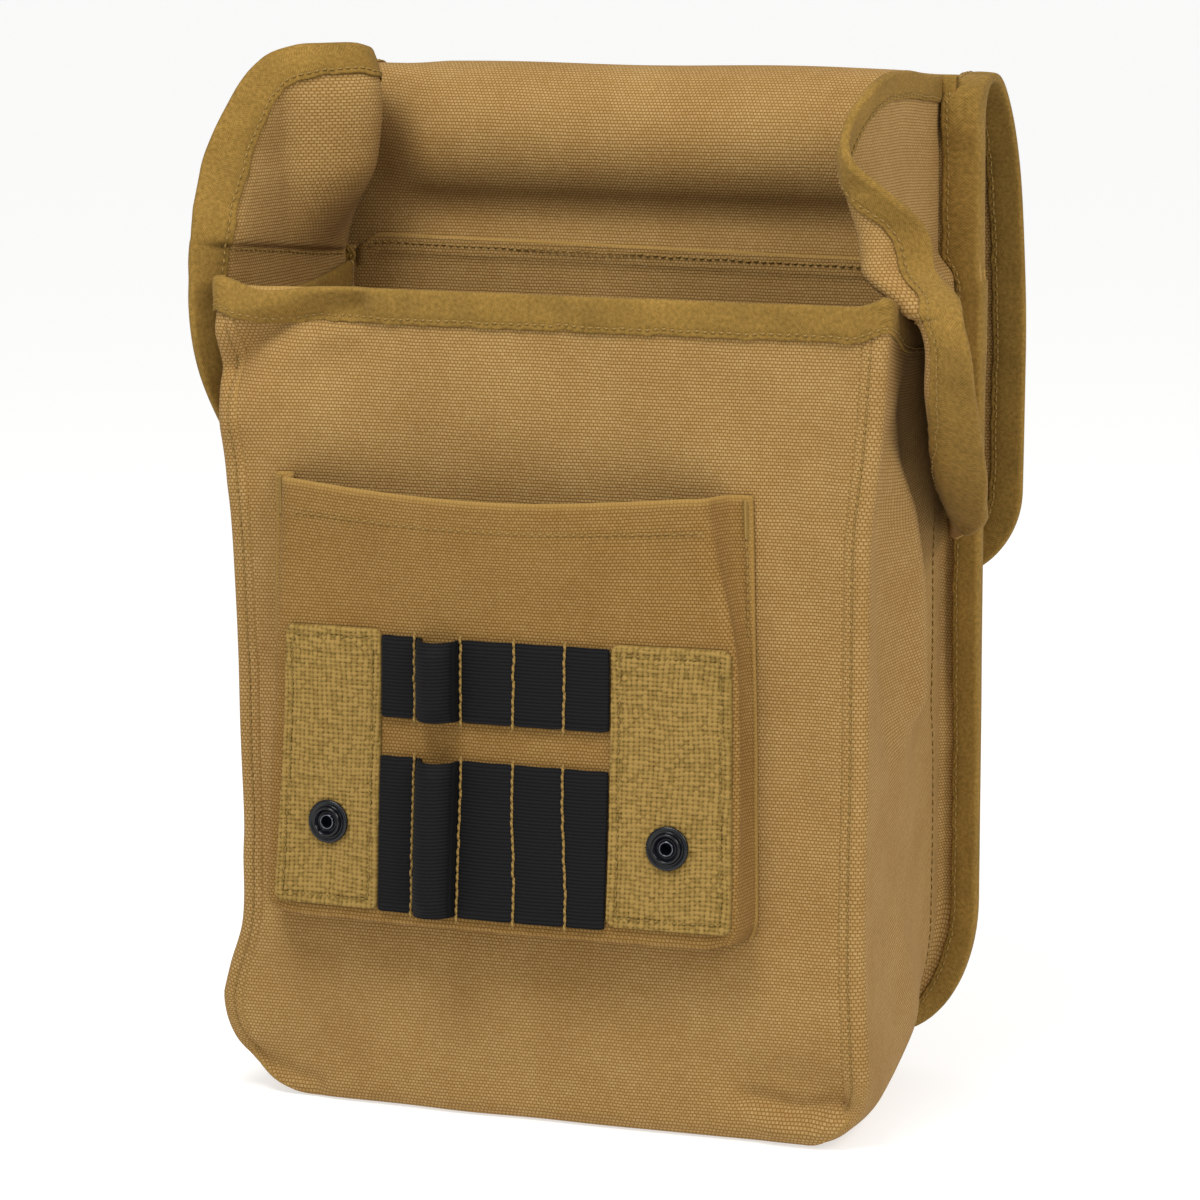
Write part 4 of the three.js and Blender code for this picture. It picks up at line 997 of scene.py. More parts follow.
def mouth_tape():
    places, half_left, half_right = mouth_path()
    count = len(places)
    lapped = np.zeros(count)
    for i, (kind, at, _) in enumerate(places):
        if kind == "turn":
            lapped[i] = 1
        if kind == "front":
            from_edge = min(at + half_left, half_right - at)
            lapped[i] = 1 - smoothstep(from_edge, LAP - 0.5, LAP + 2)
    walked = MOUTH_STEP * np.arange(count)
    slack = 0.2 + ripple(walked, 60, 0.2)
    slot = np.full(count, HUG + 0.1)
    width = TAPE_REACH + ripple(walked, 61, 0.3)
    reach, height = tape_round(width, slot, slot + LAP_LAYER * lapped, slack)
    rings = np.empty((count, reach.shape[1], 3))
    side_length = {0: HEIGHT - FRONT_RADIUS["left"], OUTLINE_END: HEIGHT - FRONT_RADIUS["right"]}
    for i, (kind, at, extra) in enumerate(places):
        down = np.maximum(reach[i], 0)
        above = np.maximum(-reach[i], 0)
        if kind == "front":
            z = HEIGHT - down
            y = front_y(at + 0 * z, z) - LAP_STAND * lapped[i]
            middle = np.stack([at + 0 * z, y, z], -1)
            normal = np.array([0, -1, 0])
        else:
            sign = -1 if at == 0 else 1
            station = np.abs(at - down / side_length[at])
            if kind == "wall":
                middle = wall_point(station, extra + 0 * down)
                normal = np.array([sign, 0, 0])
            else:
                angle = math.radians(extra)
                inset = LAP_TURN * (1 - math.sin(angle))
                middle = lap_corner(station, HEIGHT, inset, LAP_TURN * (1 - math.cos(angle)))
                normal = np.array([sign * math.sin(angle), -math.cos(angle), 0])
        lift = mouth_lift(kind, at, extra)
        rings[i] = middle + normal * height[i][:, None] + np.array([0, 0, 1]) * (above + lift)[:, None]
    return rings


def seam_tape():
    """Tape over the back seam, from under the flap's roll down round the base and up the other side."""
    fold = LAYER + CANVAS / 2 + SEAM_EASE
    bend = flap_length_at(SEAM_TAPE_TOP)
    upper = evenly(flap_length_at(HEIGHT + 1.5), bend + SEAM_TAPE_PAST, 1.6)
    out_to = seam_fin(AROUND, HEIGHT)
    tip = fin_point(AROUND, out_to, 0 * AROUND, HEIGHT)
    fin = fin_point(AROUND, out_to + 1, 0 * AROUND, HEIGHT) - tip
    stack = fin_point(AROUND, out_to, 0 * AROUND + 1, HEIGHT) - tip
    with_ear = smoothstep(tip[:, 2], *SEAM_EAR_JOINS)
    with_flap = smoothstep(tip[:, 2], *SEAM_FLAP_JOINS)
    ahead = mix(CANVAS / 2 + SEAM_EASE, fold, with_ear)
    behind = mix(fold, fold + LAYER, with_flap)
    reach = np.full(len(AROUND), SEAM_REACH_LOW)

    def ends(sign, along):
        """From the top of the back seam up the flap's edge and over its roll, where the ear ends."""
        count = len(along)
        cloth_edge = flap_point(np.full(count, sign * FLAP_SEAM_HALF), along)
        way = unit(flap_edge((along + 0.5) / FLAP_LENGTH) - flap_edge((along - 0.5) / FLAP_LENGTH))
        behind_way = np.stack([0 * along, way[:, 1], -way[:, 0]], -1)
        over = smoothstep(along, bend - 2, bend + SEAM_TAPE_PAST)
        up = cloth_edge[:, 2]
        ear = EARS["ear_left" if sign < 0 else "ear_right"]
        room = np.minimum(ear_tip(up) - ear_base(ear, up) - SEAM_BESIDE_EAR, SEAM_REACH_HIGH)
        wide = mix(SEAM_REACH_LOW, room, smoothstep(up, *SEAM_WIDENS))
        in_front = mix(cloth_edge[:, 1] - (SEAM_Y - fold), HUG, over)
        if sign > 0:
            behind_ear = RIGHT_EAR_STANDS * smoothstep(up, *RIGHT_EAR_STANDS_FROM)
            in_front = in_front + behind_ear * (1 - smoothstep(along, bend + 4, bend + 9))
        return (cloth_edge, np.tile([sign, 0, 0], (count, 1)), behind_way,
                mix(wide, TAPE_REACH, over), in_front, mix(CANVAS / 2 + SEAM_EASE, HUG, over))

    parts = [ends(-1, upper[::-1]), (tip, fin, stack, reach, ahead, behind), ends(1, upper)]
    tip, fin, stack, reach, ahead, behind = (np.concatenate(group) for group in zip(*parts))
    walked = distance_along(tip)
    slack = 0.2 + ripple(walked, 70, 0.2)
    past, height = tape_round(reach + ripple(walked, 71, 0.2), behind, ahead, slack)
    return tip[:, None] - fin[:, None] * past[..., None] + stack[:, None] * height[..., None]


# Stitches: short twisted spindles of thread whose ends dip into the cloth

def stitch_row(line, normal, pitch, stray, seed):
    walked = distance_along(line)
    count = max(int(walked[-1] / pitch), 1)
    start = np.linspace(0, walked[-1] - pitch, count)
    rng = np.random.default_rng(seed)

    def at(distance, table):
        return np.stack([np.interp(distance, walked, table[:, i]) for i in range(3)], -1)

    mid_normal = unit(at(start + pitch / 2, normal))
    head, tail = at(start + 0.08 * pitch, line), at(start + 0.9 * pitch, line)
    side = unit(np.cross(mid_normal, tail - head))
    shift = side * rng.normal(0, stray, (count, 1)) if stray else 0
    return head + shift, tail + shift, mid_normal, side


def stitching(name, rows, thread, material, lie=0.12, longer=0.0):
    """All the stitches of some seams as one piece."""
    head, tail, normal, side = (np.concatenate(group) for group in zip(*rows))
    head, tail = head - (tail - head) * longer, tail + (tail - head) * longer
    count, sides = len(head), 6
    shares = np.array([0.1, 0.32, 0.68, 0.9])
    girth = np.array([0.62, 1, 1, 0.62])
    arch = np.array([0.0, 0.75, 0.75, 0.0])
    angle = np.arange(sides) * math.tau / sides
    middle = mix(head[:, None], tail[:, None], shares[None, :, None])
    middle = middle + normal[:, None] * (thread * arch[None, :, None] * 0.55 + lie)
    ring = (side[:, None, None] * np.cos(angle)[None, None, :, None] * 1.1
            + normal[:, None, None] * np.sin(angle)[None, None, :, None] * 0.85)
    body = middle[:, :, None] + ring * (thread / 2 * girth)[None, :, None, None]
    ends = np.stack([head - normal * 0.25, tail - normal * 0.25], 1)
    each = len(shares) * sides + 2
    points = np.concatenate([body.reshape(count, -1, 3), ends], 1)
    faces = []
    for r in range(len(shares) - 1):
        for s in range(sides):
            n = (s + 1) % sides
            faces.append([r * sides + s, r * sides + n, (r + 1) * sides + n, (r + 1) * sides + s])
    quads = np.array(faces)
    last = (len(shares) - 1) * sides
    tips = [[(s + 1) % sides, s, each - 2] for s in range(sides)]
    tips += [[last + s, last + (s + 1) % sides, each - 1] for s in range(sides)]
    first = (np.arange(count) * each)[:, None, None]
    all_quads = (quads[None] + first).reshape(-1, 4)
    all_tips = (np.array(tips)[None] + first).reshape(-1, 3)
    flat = np.zeros((count, each, 2))
    flat[:, :-2, 0] = np.tile(np.repeat(shares * 2.6, sides), (count, 1))
    flat[:, :-2, 1] = np.tile(np.tile(np.arange(sides) * 0.35, len(shares)), (count, 1))
    flat = flat.reshape(-1, 2)
    flats = np.concatenate([flat[all_quads].reshape(-1, 2), flat[all_tips].reshape(-1, 2)])
    all_faces = all_quads.tolist() + all_tips.tolist()
    return add_piece(name, points.reshape(-1, 3), all_faces, flats, material)


def tape_rows(rings, seed):
    """Rows of stitches along both legs of a tape, a little in from its free edges."""
    outer_line = rings[:, STITCH_OUTER]
    inner_line = rings[:, STITCH_INNER]
    away = unit(outer_line - inner_line)
    return [
        stitch_row(outer_line, away, PITCH, 0.08, seed),
        stitch_row(inner_line, -away, PITCH, 0.08, seed + 1),
    ]


# Materials: patterns are drawn on the map cloth_mm, so their sizes are millimetres of flat cloth

DUCK_BEAD = (1.25, 1.05)
DUCK_GAP = 0.3
HERRINGBONE_RIB = 0.9
HERRINGBONE_STRIPE = 3.0


def linear(hex_colour):
    """A colour written as sRGB hex, as the linear values that shaders take."""
    srgb = [int(hex_colour[i:i + 2], 16) / 255 for i in (1, 3, 5)]
    return [c / 12.92 if c <= 0.04045 else ((c + 0.055) / 1.055) ** 2.4 for c in srgb] + [1]


def set_inputs(tree, node, inputs):
    """An input that is given as a socket is linked, and any other is set."""
    for key, value in inputs.items():
        if isinstance(value, bpy.types.NodeSocket):
            tree.links.new(value, node.inputs[key])
        else:
            node.inputs[key].default_value = value


def add_node(tree, kind, settings=None, inputs=None):
    """One node with its settings and inputs."""
    node = tree.nodes.new(kind)
    for key, value in (settings or {}).items():
        setattr(node, key, value)
    set_inputs(tree, node, inputs or {})
    return node


def start_material(name):
    material = bpy.data.materials.new(name)
    material.use_nodes = True
    tree = material.node_tree
    return material, tree, tree.nodes["Principled BSDF"]


def duck_canvas(name, bead_light, bead_dark, gap):
    # Cotton duck, plain-woven from plied yarn and piece-dyed: rows of small round beads of thread with
    # darker gaps, quite matt, with painted shade that darkens it along the cloth's edges
    material, tree, shader = start_material(name)
    flat = add_node(tree, "ShaderNodeUVMap", {"uv_map": "cloth_mm"}).outputs["UV"]
    sway = add_node(tree, "ShaderNodeTexNoise", {"noise_dimensions": "2D"},
                    {"Vector": flat, "Scale": 0.12, "Detail": 3.0})
    bent = add_node(tree, "ShaderNodeMixRGB", {"blend_type": "ADD"},
                    {"Fac": 0.5, "Color1": flat, "Color2": sway.outputs["Color"]})
    weave = add_node(tree, "ShaderNodeTexBrick", {"offset": 0.5, "squash": 1.0}, {
        "Vector": bent.outputs["Color"], "Scale": 1.0,
        "Brick Width": DUCK_BEAD[0], "Row Height": DUCK_BEAD[1],
        "Mortar Size": DUCK_GAP, "Mortar Smooth": 1.0, "Bias": -0.1,
        "Color1": linear(bead_light), "Color2": linear(bead_dark), "Mortar": linear(gap),
    })
    blotch = add_node(tree, "ShaderNodeTexNoise", {"noise_dimensions": "2D"},
                      {"Vector": flat, "Scale": 0.035, "Detail": 4.0, "Roughness": 0.6})
    tone = add_node(tree, "ShaderNodeValToRGB", {}, {"Fac": blotch.outputs["Fac"]})
    for stop, place, colour in zip(tone.color_ramp.elements, (0.3, 0.7), ("#F0EAE2", "#FFFFFF")):
        stop.position = place
        stop.color = linear(colour)
    dyed = add_node(tree, "ShaderNodeMixRGB", {"blend_type": "MULTIPLY"},
                    {"Fac": 0.8, "Color1": weave.outputs["Color"], "Color2": tone.outputs["Color"]})
    edge = add_node(tree, "ShaderNodeAttribute", {"attribute_name": "painted_light_and_wear"})
    # The cloth's edges are mixed towards a darker brown: painted shade where the pieces meet
    edge_shade = add_node(tree, "ShaderNodeMixRGB", {"blend_type": "MIX"}, {
        "Fac": edge.outputs["Fac"], "Color1": dyed.outputs["Color"], "Color2": linear("#98783F"),
    })
    slub = add_node(tree, "ShaderNodeTexNoise", {"noise_dimensions": "2D"},
                    {"Vector": flat, "Scale": 0.9, "Detail": 2.0})
    height = add_node(tree, "ShaderNodeMath", {"operation": "MULTIPLY_ADD"},
                      {0: weave.outputs["Fac"], 1: -1.0, 2: slub.outputs["Fac"]})
    bump = add_node(tree, "ShaderNodeBump", {},
                    {"Strength": 0.5, "Distance": 0.00022, "Height": height.outputs[0]})
    set_inputs(tree, shader, {
        "Base Color": edge_shade.outputs["Color"], "Roughness": 0.95, "IOR": 1.46, "Specular IOR Level": 0.1,
        "Sheen Weight": 0.02, "Sheen Roughness": 0.6, "Normal": bump.outputs["Normal"],
    })
    return material


def herringbone_tape():
    # Cotton herringbone tape, narrow-woven and dyed olive: fine slanted ribs that change hand down the
    # middle, soft and hairy, matt. The ribs are drawn at 0.9 mm, coarser than the real 0.6, so as to show
    material, tree, shader = start_material("herringbone_tape")
    flat = add_node(tree, "ShaderNodeUVMap", {"uv_map": "cloth_mm"}).outputs["UV"]
    part = add_node(tree, "ShaderNodeSeparateXYZ", {}, {"Vector": flat})
    zigzag = add_node(tree, "ShaderNodeMath", {"operation": "PINGPONG"},
                      {0: part.outputs["X"], 1: HERRINGBONE_STRIPE})
    slant = add_node(tree, "ShaderNodeMath", {"operation": "ADD"},
                     {0: zigzag.outputs[0], 1: part.outputs["Y"]})
    turns = add_node(tree, "ShaderNodeMath", {"operation": "MULTIPLY"},
                     {0: slant.outputs[0], 1: math.tau / HERRINGBONE_RIB})
    rib = add_node(tree, "ShaderNodeMath", {"operation": "SINE"}, {0: turns.outputs[0]})
    hair = add_node(tree, "ShaderNodeTexNoise", {"noise_dimensions": "2D"},
                    {"Vector": flat, "Scale": 0.8, "Detail": 5.0, "Roughness": 0.7})
    thread = add_node(tree, "ShaderNodeMath", {"operation": "MULTIPLY_ADD"},
                      {0: rib.outputs[0], 1: 0.11, 2: hair.outputs["Fac"]})
    tone = add_node(tree, "ShaderNodeValToRGB", {}, {"Fac": thread.outputs[0]})
    for stop, place, colour in zip(tone.color_ramp.elements, (0.25, 0.75), ("#6A5222", "#937339")):
        stop.position = place
        stop.color = linear(colour)
    blotch = add_node(tree, "ShaderNodeTexNoise", {"noise_dimensions": "2D"},
                      {"Vector": flat, "Scale": 0.06, "Detail": 3.0})
    shade = add_node(tree, "ShaderNodeMixRGB", {"blend_type": "OVERLAY"},
                     {"Fac": 0.25, "Color1": tone.outputs["Color"], "Color2": blotch.outputs["Fac"]})
    bump = add_node(tree, "ShaderNodeBump", {},
                    {"Strength": 0.5, "Distance": 0.0002, "Height": thread.outputs[0]})
    set_inputs(tree, shader, {
        "Base Color": shade.outputs["Color"], "Roughness": 0.95, "IOR": 1.46, "Specular IOR Level": 0.1,
        "Sheen Weight": 0.03, "Sheen Roughness": 0.5, "Normal": bump.outputs["Normal"],
    })
    return material


def basket_webbing():
    # Heavy jute webbing, basket-woven from thick loose yarn: fat uneven crossings, hairy, matt,
    # with painted shade in its deep gaps, on the yarns' flanks, at its edges and along its stitching
    material, tree, shader = start_material("basket_webbing")
    flat = add_node(tree, "ShaderNodeUVMap", {"uv_map": "cloth_mm"}).outputs["UV"]
    painted_light_and_wear = add_node(tree, "ShaderNodeAttribute", {"attribute_name": "painted_light_and_wear"})
    fibre = add_node(tree, "ShaderNodeTexNoise", {"noise_dimensions": "2D"},
                     {"Vector": flat, "Scale": 1.4, "Detail": 5.0, "Roughness": 0.7})
    lit = add_node(tree, "ShaderNodeMath", {"operation": "MULTIPLY_ADD"},
                   {0: fibre.outputs["Fac"], 1: 0.5, 2: painted_light_and_wear.outputs["Fac"]})
    tone = add_node(tree, "ShaderNodeValToRGB", {}, {"Fac": lit.outputs[0]})
    for stop, place, colour in zip(tone.color_ramp.elements, (0.25, 1.0), ("#513E11", "#967A42")):
        stop.position = place
        stop.color = linear(colour)
    bump = add_node(tree, "ShaderNodeBump", {},
                    {"Strength": 0.6, "Distance": 0.0002, "Height": fibre.outputs["Fac"]})
    set_inputs(tree, shader, {
        "Base Color": tone.outputs["Color"], "Roughness": 0.95, "IOR": 1.46, "Specular IOR Level": 0.1,
        "Sheen Weight": 0.03, "Sheen Roughness": 0.5, "Normal": bump.outputs["Normal"],
    })
    return material


def woven_elastic():
    # Woven elastic of rubber covered in polyester, dyed black: close level ribs, with a slight sheen,
    # the ribs' grooves painted darker than their crests as painted shade
    material, tree, shader = start_material("woven_elastic")
    flat = add_node(tree, "ShaderNodeUVMap", {"uv_map": "cloth_mm"}).outputs["UV"]
    painted_light_and_wear = add_node(tree, "ShaderNodeAttribute", {"attribute_name": "painted_light_and_wear"})
    lint = add_node(tree, "ShaderNodeTexNoise", {"noise_dimensions": "2D"},
                    {"Vector": flat, "Scale": 1.1, "Detail": 4.0, "Roughness": 0.7})
    lit = add_node(tree, "ShaderNodeMath", {"operation": "MULTIPLY_ADD"},
                   {0: lint.outputs["Fac"], 1: 0.5, 2: painted_light_and_wear.outputs["Fac"]})
    tone = add_node(tree, "ShaderNodeValToRGB", {}, {"Fac": lit.outputs[0]})
    for stop, place, colour in zip(tone.color_ramp.elements, (0.2, 1.0), ("#050506", "#18181A")):
        stop.position = place
        stop.color = linear(colour)
    bump = add_node(tree, "ShaderNodeBump", {},
                    {"Strength": 0.3, "Distance": 0.0001, "Height": lint.outputs["Fac"]})
    set_inputs(tree, shader, {
        "Base Color": tone.outputs["Color"], "Roughness": 0.7, "IOR": 1.5, "Specular IOR Level": 0.12,
        "Sheen Weight": 0.02, "Sheen Roughness": 0.4, "Normal": bump.outputs["Normal"],
    })
    return material


def black_enamel():
    # Pressed brass, dipped in black enamel: near black, glossy, with a fine orange peel that breaks up
    # the light along its rings. The socket's lip is grey metal, partly rubbed wear and partly a painted
    # highlight.
    # Its hole shows no reflection: painted shade.
    material, tree, shader = start_material("black_enamel")
    spot = add_node(tree, "ShaderNodeTexCoord")
    peel = add_node(tree, "ShaderNodeTexNoise", {},
                    {"Vector": spot.outputs["Object"], "Scale": 900.0, "Detail": 3.0})
    tone = add_node(tree, "ShaderNodeValToRGB", {}, {"Fac": peel.outputs["Fac"]})
    for stop, place, colour in zip(tone.color_ramp.elements, (0.3, 0.8), ("#030406", "#101319")):
        stop.position = place
        stop.color = linear(colour)
    lip_highlight_and_hole_shade = add_node(tree, "ShaderNodeAttribute", {"attribute_name": "painted_light_and_wear"})
    lip = add_node(tree, "ShaderNodeMath", {"operation": "MAXIMUM"}, {0: lip_highlight_and_hole_shade.outputs["Fac"], 1: 0.0})
    # No reflection in the hole: painted shade
    gloss = add_node(tree, "ShaderNodeMath", {"operation": "MULTIPLY_ADD"},
                     {0: lip_highlight_and_hole_shade.outputs["Fac"], 1: 0.3, 2: 0.3})
    # Grey metal on the socket's lip: partly wear, partly a painted highlight
    worn_lip_highlight = add_node(tree, "ShaderNodeMixRGB", {"blend_type": "MIX"},
                    {"Fac": lip.outputs[0], "Color1": tone.outputs["Color"], "Color2": linear("#63666D")})
    rough = add_node(tree, "ShaderNodeMapRange", {},
                     {"Value": peel.outputs["Fac"], "To Min": 0.08, "To Max": 0.22})
    bump = add_node(tree, "ShaderNodeBump", {},
                    {"Strength": 0.15, "Distance": 0.0001, "Height": peel.outputs["Fac"]})
    set_inputs(tree, shader, {
        "Base Color": worn_lip_highlight.outputs["Color"], "Metallic": lip.outputs[0], "Roughness": rough.outputs["Result"],
        "IOR": 1.55, "Specular IOR Level": gloss.outputs[0], "Normal": bump.outputs["Normal"],
    })
    return material


def cotton_thread(name, dark, light):
    # Twisted cotton sewing thread, a little yellower and glossier than the canvas
    material, tree, shader = start_material(name)
    flat = add_node(tree, "ShaderNodeUVMap", {"uv_map": "cloth_mm"}).outputs["UV"]
    twist = add_node(tree, "ShaderNodeTexWave", {"wave_type": "BANDS", "bands_direction": "DIAGONAL"},
                     {"Vector": flat, "Scale": 0.5, "Distortion": 1.0})
    tone = add_node(tree, "ShaderNodeValToRGB", {}, {"Fac": twist.outputs["Fac"]})
    for stop, colour in zip(tone.color_ramp.elements, (dark, light)):
        stop.color = linear(colour)
    set_inputs(tree, shader, {
        "Base Color": tone.outputs["Color"], "Roughness": 0.75, "IOR": 1.5, "Specular IOR Level": 0.2,
        "Sheen Weight": 0.03,
    })
    return material


canvas_cloth = duck_canvas("duck_canvas", "#AD8E5B", "#A2814D", "#7C5C2D")
# The pocket's canvas is a darker copy of the same canvas: painted shade on the pocket's face
pocket_painted_shade_cloth = duck_canvas("duck_canvas_painted_shade", "#9C7C49", "#91703D", "#6E4F22")
tape_cloth = herringbone_tape()
webbing_cloth = basket_webbing()
elastic_cloth = woven_elastic()
stud_enamel = black_enamel()
thread_cotton = cotton_thread("cotton_thread", "#755B28", "#987B43")
thread_olive = cotton_thread("cotton_thread_olive", "#6C5626", "#8C7238")

# Canvas pieces
front_panel = cloth("canvas_front", [front_panel_grid()], CANVAS, canvas_cloth, "front_panel")
gusset_points = gusset_grid()
gusset = cloth("canvas_gusset", [gusset_points], CANVAS, canvas_cloth, "gusset")
back_panel = cloth("canvas_back", back_panel_grids(), CANVAS, canvas_cloth, "back_panel")
pocket_points = pocket_grid()
pocket = cloth("canvas_pocket", [pocket_points], CANVAS, pocket_painted_shade_cloth, "pocket")
flap = cloth("canvas_flap", [flap_grid()], CANVAS, canvas_cloth, "flap")
ears = {
    name: cloth("canvas_" + name, ear_grids(name), CANVAS, canvas_cloth, name)
    for name in EARS
}

# Binding tapes
mouth_rings = mouth_tape()
seam_rings = seam_tape()
flap_rings = flap_tape()
ear_rings = {name: ear_tape(name) for name in EARS}
mouth_binding = bar("tape_mouth", mouth_rings, tape_cloth, "top_binding")
seam_binding = bar("tape_back_seam", seam_rings, tape_cloth, "back_seam_binding")
flap_binding = bar("tape_flap", flap_rings, tape_cloth, "flap_binding")
ear_bindings = {
    name: bar("tape_" + name, ear_rings[name], tape_cloth, name + "_binding")
    for name in EARS
}


# Webbing patches

def basket_weave(u, v, seed):
    """Height, 0 to 1, of a plain weave of thick uneven yarn: weft and warp take turns to lie on top."""
    wide, tall = WEBBING_YARN
    u = u + unevenness(u, v, seed, 9, 0.14) + unevenness(u, v, seed + 1, 30, 0.45)
    v = v + unevenness(u, v, seed + 2, 8, 0.12) + unevenness(u, v, seed + 3, 26, 0.45)
    column, row = np.floor(u / wide), np.floor(v / tall)
    a, b = u / wide - column - 0.5, v / tall - row - 0.5
    rng = np.random.default_rng(seed)
    plump = rng.uniform(0.55, 1.0, (64, 64))[column.astype(int) % 64, row.astype(int) % 64]
    weft_over = (column + row) % 2 == 0
    along, across = np.where(weft_over, a, b), np.where(weft_over, b, a)
    over = np.clip(1 - (along / 0.7) ** 2, 0, 1) ** 0.5 * np.clip(1 - (across / 0.52) ** 2, 0, 1) ** 0.5
    pit = np.exp(-(((0.5 - np.abs(a)) * wide) ** 2 + ((0.5 - np.abs(b)) * tall) ** 2) / 0.3**2)
    return np.clip(plump * (0.4 + 0.6 * over) - 0.36 * pit, 0, 1)


def patch_x(patch, x, z):
    """A patch is not quite square: its left edge leans in, and its right edge stands out at the foot."""
    across = (x - patch["left"]) / (patch["right"] - patch["left"])
    up = (z - patch["bottom"]) / (patch["top"] - patch["bottom"])
    return x + patch["lean"] * up * (1 - across) + patch["foot"] * (1 - up) * across


def patch_piece(name, patch, seed):
    xs = evenly(patch["left"], patch["right"], WEBBING_GRID)
    zs = evenly(patch["bottom"], patch["top"], WEBBING_GRID)
    x, z = np.meshgrid(xs, zs)
    core_x = np.clip(x, patch["left"] + PATCH_CORNER, patch["right"] - PATCH_CORNER)
    core_z = np.clip(z, patch["bottom"] + PATCH_CORNER, patch["top"] - PATCH_CORNER)
    x, z, square = rounded_off(x, z, core_x, core_z)
    inward = PATCH_CORNER - np.hypot(x - core_x, z - core_z)
    inward = np.where(square > 0, inward, np.minimum.reduce([
        x - patch["left"], patch["right"] - x, z - patch["bottom"], patch["top"] - z]))
    edge_round = np.sqrt(np.clip(1 - (1 - np.clip(inward, 0, PATCH_EDGE) / PATCH_EDGE) ** 2, 0, 1))
    from_hem = patch["top"] - z - WEBBING_HEM
    sewn = np.exp(-((inward - PATCH_SEWN_IN) / PATCH_SEAM) ** 2) + np.exp(-(from_hem / PATCH_SEAM) ** 2)
    x = patch_x(patch, x, z)
    weave = basket_weave(x, z, seed)
    pressed = np.exp(-((np.hypot(x - patch["snap"], z - SNAP_Z) / STUD_PRESSES) ** 6))
    top = (WEBBING - 0.9 + 1.0 * weave - 0.4 * sewn) * (0.15 + 0.85 * edge_round) * (1 - 0.65 * pressed)
    face = pocket_face_y(x, z)
    upper = np.stack([x, face - PATCH_LIFT - top, z], -1)
    lower = np.stack([x, face - PATCH_LIFT, z], -1)
    flat = np.stack([x, z], -1)
    # Colour from the weave's height: painted shade in its gaps, at its edges and along the stitching
    painted_light_and_wear = weave * (0.5 + 0.5 * edge_round) - 0.06 * sewn
    return two_faced("webbing_" + name, upper, lower, flat, painted_light_and_wear, webbing_cloth, name)


patches = {name: patch_piece(name, patch, 80 + 7 * i) for i, (name, patch) in enumerate(PATCHES.items())}


# Elastic bands: sewn down in rows, one loop stretched round, the others lying slack

def elastic_out(x):
    rows = np.array([ELASTIC_LEFT] + ELASTIC_ROWS + [ELASTIC_RIGHT])
    i = np.clip(np.searchsorted(rows, x) - 1, 0, len(rows) - 2)
    t = np.clip((x - rows[i]) / (rows[i + 1] - rows[i]), 0, 1)
    slack = ELASTIC_SLACK * np.sin(math.pi * t) ** 0.6
    return np.where(i == 1, 0, slack)


def elastic_drift(x, z):
    """How far the slack middle of the lower band has slid to the right."""
    return ELASTIC_SLIDES * smoothstep(x, -8, 0) * smoothstep(110 - z, 0, 36) * (1 - smoothstep(x, 18, 28))


def elastic_piece(name, band):
    bottom, top = band
    middle, half, rise = PEN_LOOP["middle"], PEN_LOOP["half"], PEN_LOOP["rise"]
    angle = np.linspace(0, math.pi, 25)
    loop_x, loop_out = middle - half * np.cos(angle), rise * np.sin(angle)
    before = evenly(ELASTIC_LEFT, ELASTIC_ROWS[0], 0.8)
    after = np.concatenate([evenly(a, b, 0.9)[1:] for a, b in zip(
        ELASTIC_ROWS[1:], ELASTIC_ROWS[2:] + [ELASTIC_RIGHT])])
    xs = np.concatenate([before, loop_x, [ELASTIC_ROWS[1]], after])
    outs = np.concatenate([elastic_out(before), loop_out, [0], elastic_out(after)])
    zs = evenly(bottom, top, ELASTIC_RIB / 5)
    x, z = np.meshgrid(xs, zs)
    edge = np.minimum(z - bottom, top - z)
    out = outs[None] * (0.8 + 0.2 * smoothstep(edge, 0, 5))
    ribbed = 0.5 + 0.5 * np.cos(z / ELASTIC_RIB * math.tau)
    lift = ELASTIC_LIFT + ELASTIC / 2 + out
    slope = np.gradient(outs) / np.maximum(np.gradient(xs), 0.05)
    curl = 0.35 * np.sin(math.pi * np.clip(out / 1.2, 0, 1)) * np.sign(z - (bottom + top) / 2) * (edge < 2)
    place = np.stack([x + elastic_drift(x, z), pocket_face_y(x, z) - lift, z + curl], -1)
    normal = -grid_normals(place)
    normal = np.where((normal[..., 1:2] > 0) & (np.abs(slope)[None, :, None] < 3), -normal, normal)
    upper = place + normal * (ELASTIC / 2 - 0.16 + 0.16 * ribbed)[..., None]
    lower = place - normal * ELASTIC / 2
    flat = flat_of(place)
    # The ribs' height goes into the colour: painted shade in their grooves
    return two_faced("woven_" + name, upper, lower, flat, ribbed * 0.7, elastic_cloth, name)


elastics = {name: elastic_piece(name, band) for name, band in ELASTICS.items()}


# Snap studs: a milled rim, a raised ring and a socket, turned about the rivet's line

STUD = [
    (6.3, 0.0), (6.9, 0.3), (7.0, 0.8), (6.8, 1.3), (6.3, 1.5), (5.7, 1.35), (5.2, 1.0), (5.0, 1.2),
    (4.85, 2.0), (4.6, 2.55), (4.25, 2.7), (3.95, 2.4), (3.6, 1.5), (3.1, 0.9), (2.75, 0.9), (2.55, 1.3),
    (2.4, 1.9), (2.15, 2.1), (1.9, 1.9), (1.75, 1.2), (1.65, 0.4), (1.0, 0.2), (0.3, 0.2),
]
STUD_SIDES = 144
STUD_SINKS = 0.5
STUD_FOOT = 0.4
MILLING = 0.13
MILLED_ROWS = (1, 2, 3)
# Rows shown as grey metal (partly wear, partly painted highlight), and rows with no reflection (painted
# shade)
RUBBED_HIGHLIGHT_ROWS = (15, 16, 17)
HOLE_SHADE_ROWS = (19, 20, 21, 22)


